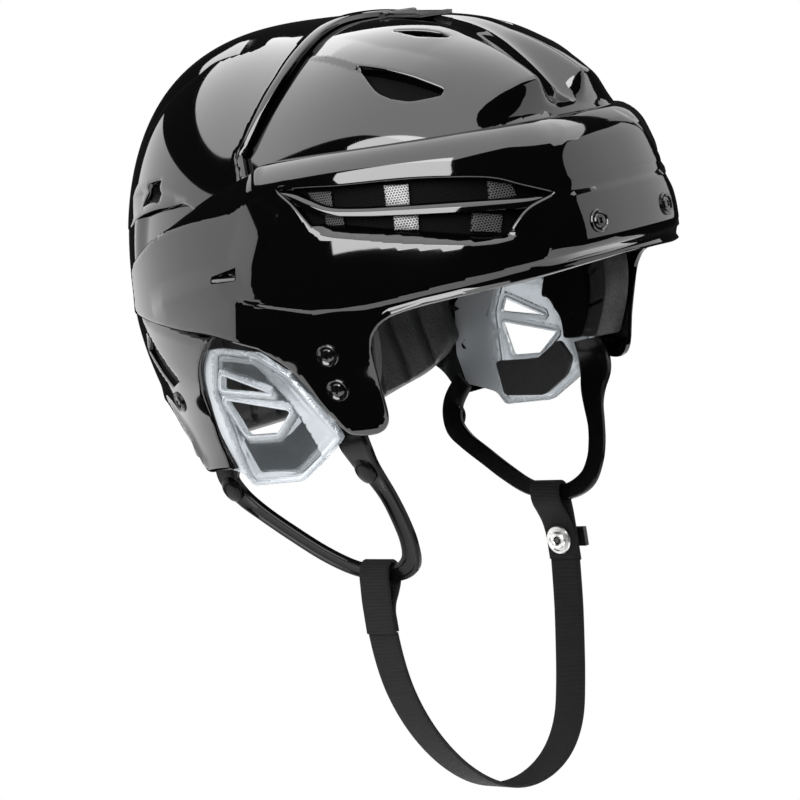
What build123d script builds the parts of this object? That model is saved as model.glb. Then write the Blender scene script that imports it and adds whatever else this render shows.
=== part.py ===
from build123d import *
from math import atan2, cos, degrees, hypot, radians, sin, tan
import os

# Ice hockey helmet, millimetres, +Z up as worn, the helmet faces -Y, the wearer's right is -X.
# The origin is the head mount, on the mirror plane and about level with the top of the ear.

# Whole helmet
half_width = 110.0  # widest half of the bare dome
hood_radius = 170.0  # from the ear line to the crown
reach = 130.0  # from the origin forward to the brow, the unit of the side outlines' y
height = 155.0  # from the origin up to the crown, the unit of the side outlines' z
ear_forward = 6.0  # the ear line lies this far in front of the origin
ear_drop = 10.0  # and this far under it
overrun = 40.0  # how far a cutter runs past what it cuts

# Shells
wall = 3.0  # rear shell and crown cap
band_wall = 3.5  # brow band and gills
layer_gap = 0.3  # between two shells that slide on each other
travel = 5.0  # how far the rear shell slides back
slide_room_share = 0.46  # of the travel, kept free under a wing, because the rear shell widens to the front
ridge_low = 93.0  # lower side of the rib that joins the crown cap to the brow band
ridge_high = 97.0  # upper side of that rib
ridge_bite = 1.5  # how far the rib reaches into each wall
groove_deep = 1.5  # crown channel

# Liners
liner_thick = 12.0
liner_gap = 0.5  # between a liner and the wall over it
mesh_wall = 1.5
mesh_gap = 0.5

# Screws and nuts
screw_radius = 2.0
screw_head_radius = 4.3
screw_head_height = 2.2
screw_recess = 1.2
screw_recess_width = 1.3
screw_recess_share = 0.62  # of the head's width
screw_fit = 0.06  # radial, screw in its hole
head_gap = 0.1  # under a screw's flat head, on the round wall
nut_radius = 6.0
nut_thick = 1.1
nut_gap = 0.7  # between a flat nut and the hollow wall over its middle
nut_room = 3.3  # depth of the pocket for a nut in a pad
guard_stack = 12.6  # from the low temple screw's head to its nut's far face, over wall and ear guard

# Ear guards
guard_thick = 2.5
guard_rim = 3.5  # width of the raised rim
guard_rim_rise = 1.4
guard_half = 38.75  # about half of the guard's height
guard_clear = 2.38  # between the guard's outer face and the temple flap at the low screw
guard_toe = 0.036  # how fast it leans in towards the back
guard_lean = 0.178  # how fast it leans out towards the top
pad_thick = 4.0
pad_gap = 0.3

# Chin hangers
hanger_thick = 3.2
hanger_clear = 0.44  # between the front tab's top and the temple flap
hanger_lean = 0.35  # how fast it leans in towards the chin
hanger_gap = 0.6  # at the line on which a hanger swings
swing_front_y = -57.0
swing_front_z = -44.2
swing_rear_y = 26.0
swing_rear_z = -47.0
button_radius = 5.6
button_height = 2.0

# Webbing
web_width = 17.0
web_thick = 1.8
loop_gap = 0.5  # between the loop and the bar that it goes round
loop_wall = 1.6
loop_y = -33.0
bar_height = 7.5
bar_z = -84.0
tail_top_z = -96.0  # under this the two webs hang straight
tail_end_z = -114.0
tail_share = 0.641  # of half_width, where the webs hang
snap_radius = 6.2
snap_step_radius = 4.5
snap_dimple_radius = 1.9
snap_stud_radius = 5.6
snap_height = 2.4
snap_post_radius = 1.6
snap_z = -104.0
keeper_length = 21.0
keeper_height = 9.0
keeper_thick = 2.4

# Crown latch
latch_width = 22.0
latch_length = 24.0
latch_thick = 1.8
latch_base_thick = 0.9
latch_pin_radius = 0.8
latch_barrel_radius = 1.8
latch_ear = 3.0
latch_gap = 0.35
latch_angle = 76.0  # where it sits on the crown
latch_foot = 1.6  # how far the base is sunk at its middle, so that it follows the round crown

# The dome as radii from the ear line, its half widths and the two powers of its cross outline,
# from 30 degrees under straight ahead, over the crown, to 60 degrees under straight back
key_start = -30.0
key_step = 30.0
radius_shares = [0.64, 0.71, 0.895, 1.0, 0.965, 1.02, 0.835, 0.653, 0.635, 0.63]
width_shares = [0.89, 0.918, 0.945, 0.99, 1.0, 0.982, 0.955, 0.918, 0.909, 0.9]
side_powers = [0.89, 0.87, 0.84, 0.81, 0.85, 0.9, 0.91, 0.91, 0.9, 0.88]
arch_powers = [0.91, 0.91, 0.87, 0.85, 0.88, 0.92, 0.96, 0.98, 0.97, 0.95]
gill_turn = 48.0  # degrees from straight ahead to the middle of a side's gills
probe_turn = 1.0  # degrees, and below it the share, over which a wall's slope is taken
probe_share = 0.01
pole_share = 0.93  # the shells stop short of the ear line's own ends
pitch = 10.0  # degrees between two cross outlines
share_pitch = 0.1325  # between two points of a cross outline

# The loop's two webs lie together below the bar
tail_half = loop_wall + layer_gap
tail_depth = 2 * tail_half + layer_gap

# Where each layer lies, measured out from the dome
band_in = layer_gap
band_out = layer_gap + band_wall
wing_in = layer_gap + travel * slide_room_share
cap_out = -wall - layer_gap
cap_in = cap_out - wall
brow_liner_out = -mesh_wall - mesh_gap - layer_gap
temple_pad_out = band_in - liner_gap
side_liner_out = -wall - liner_gap
crown_liner_out = cap_in - liner_gap
rear_liner_out = -wall - liner_gap

# The latch's hinge line, on the latch's plane
pin_y = latch_length / 2 - latch_barrel_radius
pin_z = latch_base_thick + layer_gap + latch_barrel_radius


def between(angle, keys):
    """A smooth value between evenly spaced keys, on a Catmull-Rom curve."""
    place = (angle - key_start) / key_step
    first = min(max(int(place), 0), len(keys) - 2)
    part = place - first
    run = [2 * keys[0] - keys[1]] + keys + [2 * keys[-1] - keys[-2]]
    a, b, c, d = run[first : first + 4]
    curve = (2 * a - 5 * b + 4 * c - d) * part**2 + (3 * b - a - 3 * c + d) * part**3
    return (2 * b + (c - a) * part + curve) / 2


def dome(angle, share, step):
    """Point at an angle about the ear line and a share of the way out to an ear."""
    turn = radians(90 * abs(share))
    side = 1 if share >= 0 else -1
    half = half_width * between(angle, width_shares) + step
    radius = hood_radius * between(angle, radius_shares) + step
    out = side * half * sin(turn) ** between(angle, side_powers)
    up = radius * cos(turn) ** between(angle, arch_powers)
    return Vector(
        out,
        -ear_forward - up * cos(radians(angle)),
        -ear_drop + up * sin(radians(angle)),
    )


def side_x(y, z, step):
    """Half width of a layer at a side-view point."""
    angle = degrees(atan2(z + ear_drop, -(y + ear_forward)))
    angle = angle + 360 if angle < 2 * key_start else angle
    half = half_width * between(angle, width_shares) + step
    radius = hood_radius * between(angle, radius_shares) + step
    part = (hypot(y + ear_forward, z + ear_drop) / radius) ** (2 / between(angle, arch_powers))
    return half * (1 - part) ** (between(angle, side_powers) / 2)


def outline(angle, outer, inner, low, high):
    """Closed cross outline of a layer at one angle, from one share to another."""
    shares = [low] + [i * share_pitch for i in range(-50, 51) if low < i * share_pitch < high] + [high]
    over = [dome(angle, share, outer) for share in shares]
    under = [dome(angle, share, inner) for share in reversed(shares)]
    return Wire(
        [
            Edge.make_spline(over),
            Edge.make_line(over[-1], under[0]),
            Edge.make_spline(under),
            Edge.make_line(under[-1], over[0]),
        ]
    )


def layer(start, end, outer, inner, low=-pole_share, high=pole_share):
    """Solid between two steps from the dome, lofted from angle to angle."""
    first = int(key_start / pitch)
    steps = [i * pitch for i in range(first, first + 60)]
    angles = [start] + [a for a in steps if start + 2 < a < end - 2] + [end]
    return Solid.make_loft([outline(a, outer, inner, low, high) for a in angles])


def pad(span, outer):
    """Foam pad over a span, its outer face at a step from the dome."""
    start, end, low, high = span
    return layer(start, end, outer, outer - liner_thick, low, high)


def side_prism(shares, low=None, high=None):
    """Prism across the helmet from side-view points, in shares of reach and height."""
    low = -half_width - overrun if low is None else low
    high = half_width + overrun if high is None else high
    points = [Vector(low, y * reach, z * height) for y, z in shares]
    face = Face(Wire.make_polygon(points, close=True))
    return Solid.extrude(face, Vector(high - low, 0, 0))


def top_prism(shares):
    """Prism down from over the crown, points in shares of half_width and reach."""
    points = [Vector(x * half_width, y * reach, height + overrun) for x, y in shares]
    face = Face(Wire.make_polygon(points, close=True))
    return Solid.extrude(face, Vector(0, 0, -height))


def slant_prism(shares, near, far):
    """Prism square to the gills, points in shares of reach along them and of height."""
    across = Vector(cos(radians(gill_turn)), -sin(radians(gill_turn)), 0)
    inward = Vector(sin(radians(gill_turn)), cos(radians(gill_turn)), 0)
    points = [across * (u * reach) + Vector(0, 0, z * height) - inward * near for u, z in shares]
    face = Face(Wire.make_polygon(points, close=True))
    return Solid.extrude(face, inward * (near - far))


def seat(place, step=0.0):
    """Plane on a layer at a fastener, its z along the fastener's line, out of the helmet."""
    angle, share = place
    here = dome(angle, share, 0)
    along = dome(angle + probe_turn, share, 0) - dome(angle - probe_turn, share, 0)
    across = dome(angle, share + probe_share, 0) - dome(angle, share - probe_share, 0)
    bare = Plane(origin=here, x_dir=across, z_dir=across.cross(along))
    return bare.offset((dome(angle, share, step) - here).dot(bare.z_dir))


def left_of(shape):
    """The same piece on the wearer's left."""
    return mirror(shape, about=Plane.YZ)


def write(name, *solids):
    """Write one node."""
    shape = solids[0] if len(solids) == 1 else Compound(children=list(solids))
    export_step(shape, "parts/" + name + ".step")


def drum(plane, radius, low, high):
    """Cylinder along a plane's normal, between two heights over it."""
    base = plane.offset(low)
    return Location(base) * Cylinder(radius, high - low, align=(Align.CENTER, Align.CENTER, Align.MIN))


def fitted(radius):
    """Radius of the hole that a screw or post of the given radius runs in."""
    return radius + screw_fit


# Outlines in side view, y as a share of reach and z as a share of height
band_shares = [
    (-1.3, 0.632), (-0.24, 0.626), (-0.13, 0.59), (0.085, 0.538), (0.377, 0.453), (0.46, 0.394),
    (0.49, 0.335), (0.508, 0.245), (0.385, 0.228), (0.17, 0.197), (-0.1, 0.155), (-0.177, 0.134),
    (-0.262, 0.065), (-0.392, -0.116), (-0.438, -0.129), (-0.526, -0.139), (-0.575, 0.133),
    (-0.615, 0.161), (-0.703, 0.187), (-0.854, 0.206), (-0.962, 0.215), (-1.3, 0.23),
]
wing_relief_shares = [(-0.02, 0.1), (0.6, 0.1), (0.6, 0.6), (-0.02, 0.6)]
cap_shares = [(-1.3, 0.613), (0.09, 0.613), (0.09, 1.3), (-1.3, 1.3)]
rear_shares = [
    (-0.159, 1.3), (-0.159, 0.969), (-0.211, 0.888), (-0.179, 0.815), (-0.126, 0.745),
    (-0.054, 0.66), (-0.131, 0.59), (-0.108, 0.387), (-0.046, 0.225), (0.064, 0.165),
    (0.159, 0.065), (0.178, -0.099), (0.133, -0.22), (0.305, -0.226), (0.325, -0.2), (0.355, -0.16),
    (0.387, -0.13), (0.424, -0.103), (0.468, -0.063), (0.515, -0.035), (0.6, -0.02), (0.7, -0.03),
    (0.8, -0.075), (0.9, -0.115), (1.0, -0.13), (1.4, -0.13), (1.4, 1.3),
]
rear_vent_shares = [(0.335, 0.576), (0.47, 0.579), (0.455, 0.525), (0.325, 0.521)]
flap_vent_shares = [(0.42, 0.16), (0.5, 0.13), (0.4, 0.03), (0.31, 0.045)]
flap_mesh_share = 0.08  # how far the mesh is drawn in from the vent's edge
ridge_shares = [
    (-1.3, ridge_low / height), (-0.24, ridge_low / height),
    (-0.24, ridge_high / height), (-1.3, ridge_high / height),
]
# Crown vents in top view, x as a share of half_width and y as a share of reach
vent_shares = [(-0.53, -0.51), (-0.595, -0.6), (-0.55, -0.7), (-0.475, -0.755), (-0.525, -0.625)]
small_vent_shares = [(-0.32, -0.5), (-0.34, -0.57), (-0.245, -0.665), (-0.262, -0.605)]
channel_shares = [(-0.12, -0.6), (-0.1, -0.86), (0.1, -0.86), (0.12, -0.6)]
# Gill slots, along the gills and up
upper_slot_shares = [(-0.27, 0.555), (-0.1, 0.54), (0.48, 0.492), (0.5, 0.445), (-0.14, 0.497)]
lower_slot_shares = [(-0.17, 0.47), (0.46, 0.41), (0.45, 0.352), (-0.08, 0.405)]
mesh_shares = [(-0.25, 0.575), (0.55, 0.52), (0.52, 0.32), (-0.12, 0.36)]

# First and last angle of each layer that the shells and meshes are cut from
cap_span = (10, 115)
channel_span = (40, 80)
rib_span = (10, 90)
band_span = (-30, 165)
relief_span = (70, 165)
rear_span = (60, 240)
flap_mesh_span = (120, 200)
vent_mesh_span = (10, 90)

# Pads and liners: first and last angle, then the lowest and highest share
brow_liner_span = (22, 39, -0.42, 0.42)
crown_front_span = (47, 94, -0.42, 0.42)
crown_rear_span = (104, 120, -0.42, 0.42)
occipital_span = (123, 183, -0.2, 0.2)
side_liner_span = (62, 100, -0.84, -0.65)
rear_liner_span = (123, 176, -0.76, -0.22)
temple_pad_span = (-1, 30, -0.72, -0.57)

# Fastener seats: angle, share, each for the right side
brow_screw = (25.4, -0.105)
temple_screw_high = (27.5, -0.8)
temple_screw_low = (11.2, -0.787)
rear_screw = (172.8, -0.69)


def make_screw(place, outer, depth):
    """Right-hand screw: its head on a layer, its tip at a depth under that layer."""
    plane = seat(place, outer).offset(head_gap)
    head = drum(plane, screw_head_radius, 0, screw_head_height)
    bar = Box(2 * screw_head_radius * screw_recess_share, screw_recess_width, 2 * screw_recess)
    cross = bar + Rot(0, 0, 90) * bar
    head -= Location(plane.offset(screw_head_height)) * cross
    return head + drum(plane, screw_radius, -depth - head_gap, 0)


def make_nut(place, outer, depth):
    """Round T-nut whose inner face is at a depth under a layer."""
    plane = seat(place, outer)
    plate = drum(plane, nut_radius, -depth, nut_thick - depth)
    return plate - drum(plane, fitted(screw_radius), -overrun, overrun)


def hole(place, radius):
    """Cutter for a screw's hole."""
    return drum(seat(place), radius, -overrun / 2, overrun / 2)


def make_front_shell():
    """Crown cap under the rear shell, brow band and wings over it, joined by the ridge rib."""
    cap = layer(*cap_span, cap_out, cap_in) & side_prism(cap_shares)
    channel = layer(*channel_span, overrun / 4, cap_out - groove_deep, -0.2, 0.2)
    channel &= top_prism(channel_shares)
    cap -= channel
    for shares in (vent_shares, small_vent_shares):
        cutter = top_prism(shares)
        cap = cap - cutter - left_of(cutter)
    rib = layer(*rib_span, band_in + ridge_bite, cap_out - ridge_bite) & side_prism(ridge_shares)
    band = layer(*band_span, band_out, band_in) & side_prism(band_shares)
    relief = layer(*relief_span, wing_in, -wall) & side_prism(wing_relief_shares)
    band -= relief
    for shares in (upper_slot_shares, lower_slot_shares):
        cutter = slant_prism(shares, 2 * half_width, half_width / 4)
        band = band - cutter - left_of(cutter)
    shell = cap + rib + band
    for place in (brow_screw, temple_screw_high, temple_screw_low):
        cutter = hole(place, fitted(screw_radius))
        shell = shell - cutter - left_of(cutter)
    return shell


def make_rear_shell():
    """Back dome and rear flaps, its front lip over the cap and its sides under the wings."""
    shell = layer(*rear_span, 0, -wall) & side_prism(rear_shares)
    for shares in (rear_vent_shares, flap_vent_shares):
        cutter = side_prism(shares, -half_width - overrun, -half_width / 4)
        shell = shell - cutter - left_of(cutter)
    cutter = hole(rear_screw, fitted(screw_radius))
    return shell - cutter - left_of(cutter)


def make_flap_mesh():
    """Plate set in the right rear flap's vent, clear of its edge."""
    low, high = -half_width - overrun, -half_width / 4
    plate = layer(*flap_mesh_span, -mesh_gap, -mesh_gap - mesh_wall, -pole_share, -0.3)
    return plate & side_prism(grown(flap_vent_shares, flap_mesh_share), low, high)


def make_vent_mesh():
    """Plate behind the right gills."""
    plate = layer(*vent_mesh_span, -layer_gap, -layer_gap - mesh_wall, -0.8, -0.1)
    return plate & slant_prism(mesh_shares, 2 * half_width, half_width / 4)


# The guard's outer face clears the temple flap at the low temple screw
screw_point = dome(*temple_screw_low, band_in)
guard_out = abs(screw_point.X) - guard_clear - guard_toe * screw_point.Y - guard_lean * screw_point.Z


def guard_x(y, z):
    """The guard's outer face."""
    return -guard_out - guard_toe * y - guard_lean * z


def guard_plate(points, out, thick):
    """Slab on the guard's leaning face; points are y, z, out lies over the face."""
    face = Face(Wire.make_polygon([Vector(guard_x(y, z) - out, y, z) for y, z in points], close=True))
    return Solid.extrude(face, Vector(thick, 0, 0))


def grown(points, share):
    """The same outline drawn in towards its middle by a share."""
    mid_y = sum(y for y, z in points) / len(points)
    mid_z = sum(z for y, z in points) / len(points)
    return [(y + (mid_y - y) * share, z + (mid_z - z) * share) for y, z in points]


def placed(shares):
    """Side-view points in millimetres from shares of reach and height."""
    return [(y * reach, z * height) for y, z in shares]


guard_shares = [
    (0.133, 0.013), (0.088, 0.128), (0.056, 0.135), (-0.102, 0.114), (-0.204, 0.054),
    (-0.34, 0.06), (-0.44, 0.04), (-0.44, -0.035), (-0.33, -0.09), (-0.358, -0.143),
    (-0.257, -0.203), (-0.137, -0.263), (0.085, -0.271), (0.1, -0.232),
]
guard_body_shares = [
    (0.133, 0.013), (0.088, 0.128), (0.056, 0.135), (-0.102, 0.114), (-0.204, 0.054),
    (-0.278, -0.041), (-0.358, -0.143), (-0.257, -0.203), (-0.137, -0.263), (0.085, -0.271),
    (0.1, -0.232),
]
upper_window_shares = [(0.078, 0.059), (-0.118, -0.008), (0.098, 0.017)]
lower_window_shares = [(0.098, -0.015), (-0.174, -0.057), (-0.088, -0.12), (0.048, -0.122)]
guard_pad_shares = [(0.1, -0.13), (-0.1, -0.128), (-0.2, -0.17), (-0.13, -0.24), (0.06, -0.235)]


def make_ear_guard():
    """Right ear guard: plate with two windows and a raised rim, held by the lower temple screw."""
    plate = guard_plate(placed(guard_shares), 0, guard_thick)
    body = placed(guard_body_shares)
    inner = grown(body, guard_rim / guard_half)
    rim = guard_plate(body, guard_rim_rise, guard_rim_rise + guard_thick / 2)
    rim -= guard_plate(inner, guard_rim_rise + overrun, 2 * overrun)
    guard = plate + rim
    for shares in (upper_window_shares, lower_window_shares):
        guard -= guard_plate(placed(shares), overrun, 2 * overrun)
    return guard - hole(temple_screw_low, fitted(screw_radius))


def make_guard_pad():
    """Felt pad behind the lower half of the right ear guard."""
    return guard_plate(placed(guard_pad_shares), -guard_thick - pad_gap, pad_thick)


def make_temple_pad():
    """Foam pad inside the right temple flap, with room for the nuts."""
    foam = pad(temple_pad_span, temple_pad_out)
    for place in (temple_screw_high, temple_screw_low):
        foam -= hole(place, nut_radius + pad_gap)
    return foam


def make_rear_liner():
    """Foam inside the right half of the rear shell, with room for the nut."""
    foam = pad(rear_liner_span, rear_liner_out)
    return foam - drum(seat(rear_screw, -wall), nut_radius + pad_gap, -nut_room, overrun)


front_tab_shares = [(-0.355, -0.115), (-0.435, -0.115), (-0.47, -0.16), (-0.495, -0.24)]
rear_tab_shares = [(0.085, -0.215), (0.13, -0.2), (0.27, -0.245)]
front_button_shares = (-0.438, -0.24)
rear_button_shares = (0.2, -0.265)

# The hanger's outer face at the origin's level, so that the front tab clears the temple flap
tab_y, tab_z = placed(front_tab_shares)[1]
hanger_out = side_x(tab_y, tab_z, band_in) - hanger_clear - hanger_lean * tab_z


def hanger_x(z):
    """The hanger's outer face."""
    return -hanger_out - hanger_lean * z


def hanger_plate(points, out, thick):
    """Slab on the hanger's leaning face; points are y, z."""
    inward = Vector(1, 0, hanger_lean).normalized()
    corners = [Vector(hanger_x(z), y, z) - inward * out for y, z in points]
    face = Face(Wire.make_polygon(corners, close=True))
    return Solid.extrude(face, inward * thick)


def swing_z(y):
    """Height of the line on which the hanger swings."""
    share = (y - swing_front_y) / (swing_rear_y - swing_front_y)
    return swing_front_z + (swing_rear_z - swing_front_z) * share


leg_front_shares = (-0.49, -0.42)
leg_rear_shares = (0.165, 0.24)
hanger_outer_shares = [
    (-0.49, -0.33), (-0.475, -0.455), (-0.43, -0.525), (-0.34, -0.562), (-0.15, -0.567), (0.07, -0.46),
]
hanger_inner_shares = [
    (-0.42, -0.34), (-0.405, -0.45), (-0.375, -0.497), (-0.32, -0.516), (-0.165, -0.519), (0.035, -0.42),
]


def make_hanger():
    """Right chin hanger: two legs and the bar that the webbing goes round."""
    gap = hanger_gap / 2
    tops = [y * reach for y in leg_front_shares + leg_rear_shares]
    ends = [(y, swing_z(y) - gap) for y in tops]
    outer = [ends[0]] + placed(hanger_outer_shares) + [ends[3]]
    inner = [ends[2]] + placed(list(reversed(hanger_inner_shares))) + [ends[1]]
    return hanger_plate(outer + inner, 0, hanger_thick)


def button_plane(y, z):
    """Plane on a hanger tab at a button, its z pointing out."""
    outward = Vector(-1, 0, -hanger_lean).normalized()
    return Plane(origin=Vector(hanger_x(z), y, z), x_dir=(0, 1, 0), z_dir=outward)


def make_tab(shares, legs, button):
    """Hanger tab with its button, ending at the line on which the hanger swings."""
    gap = hanger_gap / 2
    ends = [(y * reach, swing_z(y * reach) + gap) for y in legs]
    plate = hanger_plate(placed(shares) + ends, 0, hanger_thick)
    plane = button_plane(button[0] * reach, button[1] * height)
    return plate + drum(plane, button_radius, -hanger_thick / 2, button_height)


def web_profile(points, low_y):
    """Webbing seen from the front, points are x, z, as wide as the webbing."""
    face = Face(Wire.make_polygon([Vector(x, low_y, z) for x, z in points], close=True))
    return Solid.extrude(face, Vector(0, web_width, 0))


def make_loop():
    """Right webbing loop: round the hanger's bar and down to the chin strap."""
    inward = Vector(1, 0, hanger_lean).normalized()
    middle = Vector(hanger_x(bar_z), loop_y, bar_z) + inward * (hanger_thick / 2)
    plane = Plane(origin=middle, x_dir=inward, z_dir=(0, 1, 0))
    inner_width = hanger_thick + 2 * loop_gap
    inner_height = bar_height + 2 * loop_gap
    outer = Box(inner_width + 2 * loop_wall, inner_height + 2 * loop_wall, web_width)
    opening = Box(inner_width, inner_height, web_width + overrun)
    ring = Location(plane) * (outer - opening)
    top_z = bar_z - inner_height / 2 - loop_wall / 2
    top_x = middle.X + hanger_lean * inner_height / 2
    tail_x = tail_share * half_width
    points = [
        (top_x - tail_half, top_z), (top_x + tail_half, top_z),
        (-tail_x + tail_half, tail_top_z), (-tail_x + tail_half, tail_end_z),
        (-tail_x - tail_half, tail_end_z), (-tail_x - tail_half, tail_top_z),
    ]
    return ring + web_profile(points, loop_y - web_width / 2)


def snap_plane():
    """Plane on the inner face of the left loop's tail at the snap, its z pointing inwards."""
    face_x = tail_share * half_width - tail_half - layer_gap
    return Plane(origin=(face_x, loop_y, snap_z), x_dir=(0, 1, 0), z_dir=(-1, 0, 0))


def make_snap_cap():
    """Pressed cap with a hollow rivet, on the inner face."""
    plane = snap_plane()
    cap = drum(plane, snap_radius, 0, snap_height / 2) + drum(plane, snap_step_radius, 0, snap_height)
    cap -= drum(plane, snap_dimple_radius, snap_height / 2, snap_height + overrun)
    return cap + drum(plane, snap_post_radius, -tail_depth - layer_gap - snap_height / 2, 0)


def make_snap_stud():
    """Stud on the outer face, on the cap's post."""
    plane = snap_plane()
    depth = tail_depth + layer_gap
    stud = drum(plane, snap_stud_radius, -depth - snap_height / 2, -depth)
    return stud - drum(plane, fitted(snap_post_radius), -overrun, overrun)


def make_keeper():
    """Plastic keeper behind the loop's tail, over the stud."""
    plane = snap_plane().offset(-tail_depth - 2 * layer_gap - snap_height / 2 - keeper_thick / 2)
    return Location(plane) * Box(keeper_length, keeper_height, keeper_thick)


# The chin strap hangs in one plane; x and z as shares of half_width and height, chosen by hand
strap_shares = [
    (-tail_share, -0.7355), (-tail_share, -0.845), (-0.588, -0.9935), (-0.482, -1.126), (-0.336, -1.229),
    (-0.159, -1.29), (0.036, -1.303), (0.227, -1.268), (0.391, -1.187), (0.518, -1.068),
    (0.6055, -0.9387), (tail_share, -0.8355), (tail_share, -0.7355),
]
run_share = 0.45  # of the shorter run, taken up by an arc


def strap_route():
    """The strap's middle line, and the radius of the arc at each of its points."""
    points = [Vector(x * half_width, loop_y, z * height) for x, z in strap_shares]
    radii = []
    for before, here, after in zip(points, points[1:], points[2:]):
        shorter = min((here - before).length, (after - here).length)
        half_turn = (here - before).get_angle(after - here) / 2
        radii.append(run_share * shorter / tan(radians(half_turn)))
    return points, radii


def make_chin_strap():
    """Flat webbing from loop to loop, on straight runs joined by tangent arcs."""
    points, radii = strap_route()
    path = FilletPolyline(*points, radius=radii)
    start = path.position_at(0)
    plane = Plane(origin=start, x_dir=(0, 1, 0), z_dir=path.tangent_at(0))
    section = plane * Rectangle(web_width, web_thick)
    strap = sweep(section, path=path)
    print("strap radii", [round(r) for r in radii])
    plain_volume = path.length * web_width * web_thick
    print("strap length", round(path.length, 1), "volume share", round(strap.volume / plain_volume, 4))
    return strap


def latch_plane():
    """Plane on the crown cap at the latch's middle, its x across the helmet and y to the back."""
    here = dome(latch_angle, 0, cap_out)
    along = dome(latch_angle + 1, 0, cap_out) - dome(latch_angle - 1, 0, cap_out)
    return Plane(origin=here, x_dir=(1, 0, 0), z_dir=Vector(1, 0, 0).cross(along))


def latch_box(width, length, low, high, mid_x=0, mid_y=0):
    """Block on the latch's plane."""
    plane = latch_plane()
    box = Box(width, length, high - low, align=(Align.CENTER, Align.CENTER, Align.MIN))
    return Location(plane) * Pos(mid_x, mid_y, low) * box


def latch_rod(radius, length, mid_x=0):
    """Cylinder across the helmet on the latch's hinge line."""
    return Location(latch_plane()) * Pos(mid_x, pin_y, pin_z) * Rot(0, 90, 0) * Cylinder(radius, length)


def make_latch_base():
    """Base on the cap with two ears for the pin."""
    base = latch_box(latch_width, latch_length, -latch_foot, latch_base_thick)
    ear_x = latch_width / 2 - latch_ear / 2
    for side in (-1, 1):
        base += latch_rod(latch_barrel_radius, latch_ear, side * ear_x)
        base += latch_box(latch_ear, 2 * latch_barrel_radius, 0, pin_z, side * ear_x, pin_y)
    base -= latch_rod(fitted(latch_pin_radius), latch_width + overrun)
    return base - layer(latch_angle - 20, latch_angle + 20, cap_out + layer_gap / 6, cap_in, -0.25, 0.25)


def make_latch_lever():
    """Lever between the ears, flat on the base when shut."""
    inner = latch_width - 2 * latch_ear - 2 * latch_gap
    low = latch_base_thick + layer_gap
    barrel = latch_rod(latch_barrel_radius, inner)
    blade_length = latch_length - 2 * latch_barrel_radius
    blade = latch_box(inner, blade_length, low, low + latch_thick, 0, -latch_barrel_radius)
    neck = latch_box(inner, 2 * latch_barrel_radius, low, low + latch_thick, 0, pin_y - latch_barrel_radius)
    nose_y = -latch_length / 2 + latch_ear / 2
    nose = latch_box(latch_width, latch_ear, low, low + latch_thick, 0, nose_y)
    lever = barrel + blade + neck + nose
    return lever - latch_rod(fitted(latch_pin_radius), latch_width + overrun)


def build():
    """Write every node."""
    os.makedirs("parts", exist_ok=True)
    write("front_shell", make_front_shell())
    write("rear_shell", make_rear_shell())
    write("brow_liner", pad(brow_liner_span, brow_liner_out))
    write("crown_liner_front", pad(crown_front_span, crown_liner_out))
    write("crown_liner_rear", pad(crown_rear_span, rear_liner_out))
    write("occipital_pad", pad(occipital_span, rear_liner_out))
    pairs = {
        "vent_mesh": make_vent_mesh(),
        "flap_mesh": make_flap_mesh(),
        "side_liner": pad(side_liner_span, side_liner_out),
        "rear_liner": make_rear_liner(),
        "temple_pad": make_temple_pad(),
        "ear_guard": make_ear_guard(),
        "ear_pad": make_guard_pad(),
        "front_tab": make_tab(front_tab_shares, leg_front_shares, front_button_shares),
        "rear_tab": make_tab(rear_tab_shares, leg_rear_shares[::-1], rear_button_shares),
        "chin_hanger": make_hanger(),
    }
    for name, shape in pairs.items():
        write(name + "_right", shape)
        write(name + "_left", left_of(shape))
    loop = make_loop()
    write("strap_loop_right", loop)
    post_hole = drum(snap_plane(), fitted(snap_post_radius), -overrun, overrun)
    write("strap_loop_left", left_of(loop) - post_hole)
    write("chin_strap", make_chin_strap())
    write("snap_cap", make_snap_cap())
    write("snap_stud", make_snap_stud())
    write("strap_keeper", make_keeper())
    fasteners = {
        "brow": (brow_screw, band_out, band_wall + nut_gap + nut_thick),
        "temple_high": (temple_screw_high, band_out, band_wall + nut_gap + nut_thick),
        "temple_low": (temple_screw_low, band_out, guard_stack),
        "rear": (rear_screw, 0, wall + nut_gap + nut_thick),
    }
    for name, (place, outer, depth) in fasteners.items():
        screw = make_screw(place, outer, depth)
        write(name + "_screws", screw.solid(), left_of(screw).solid())
        nut = make_nut(place, outer, depth)
        write(name + "_nuts", nut.solid(), left_of(nut).solid())
    write("crown_latch_base", make_latch_base())
    write("crown_latch", make_latch_lever())
    write("latch_pin", latch_rod(latch_pin_radius, latch_width))


build()
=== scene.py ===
import math

import bpy
import numpy as np
from mathutils import Matrix, Vector
from mathutils.geometry import delaunay_2d_cdt


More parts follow.
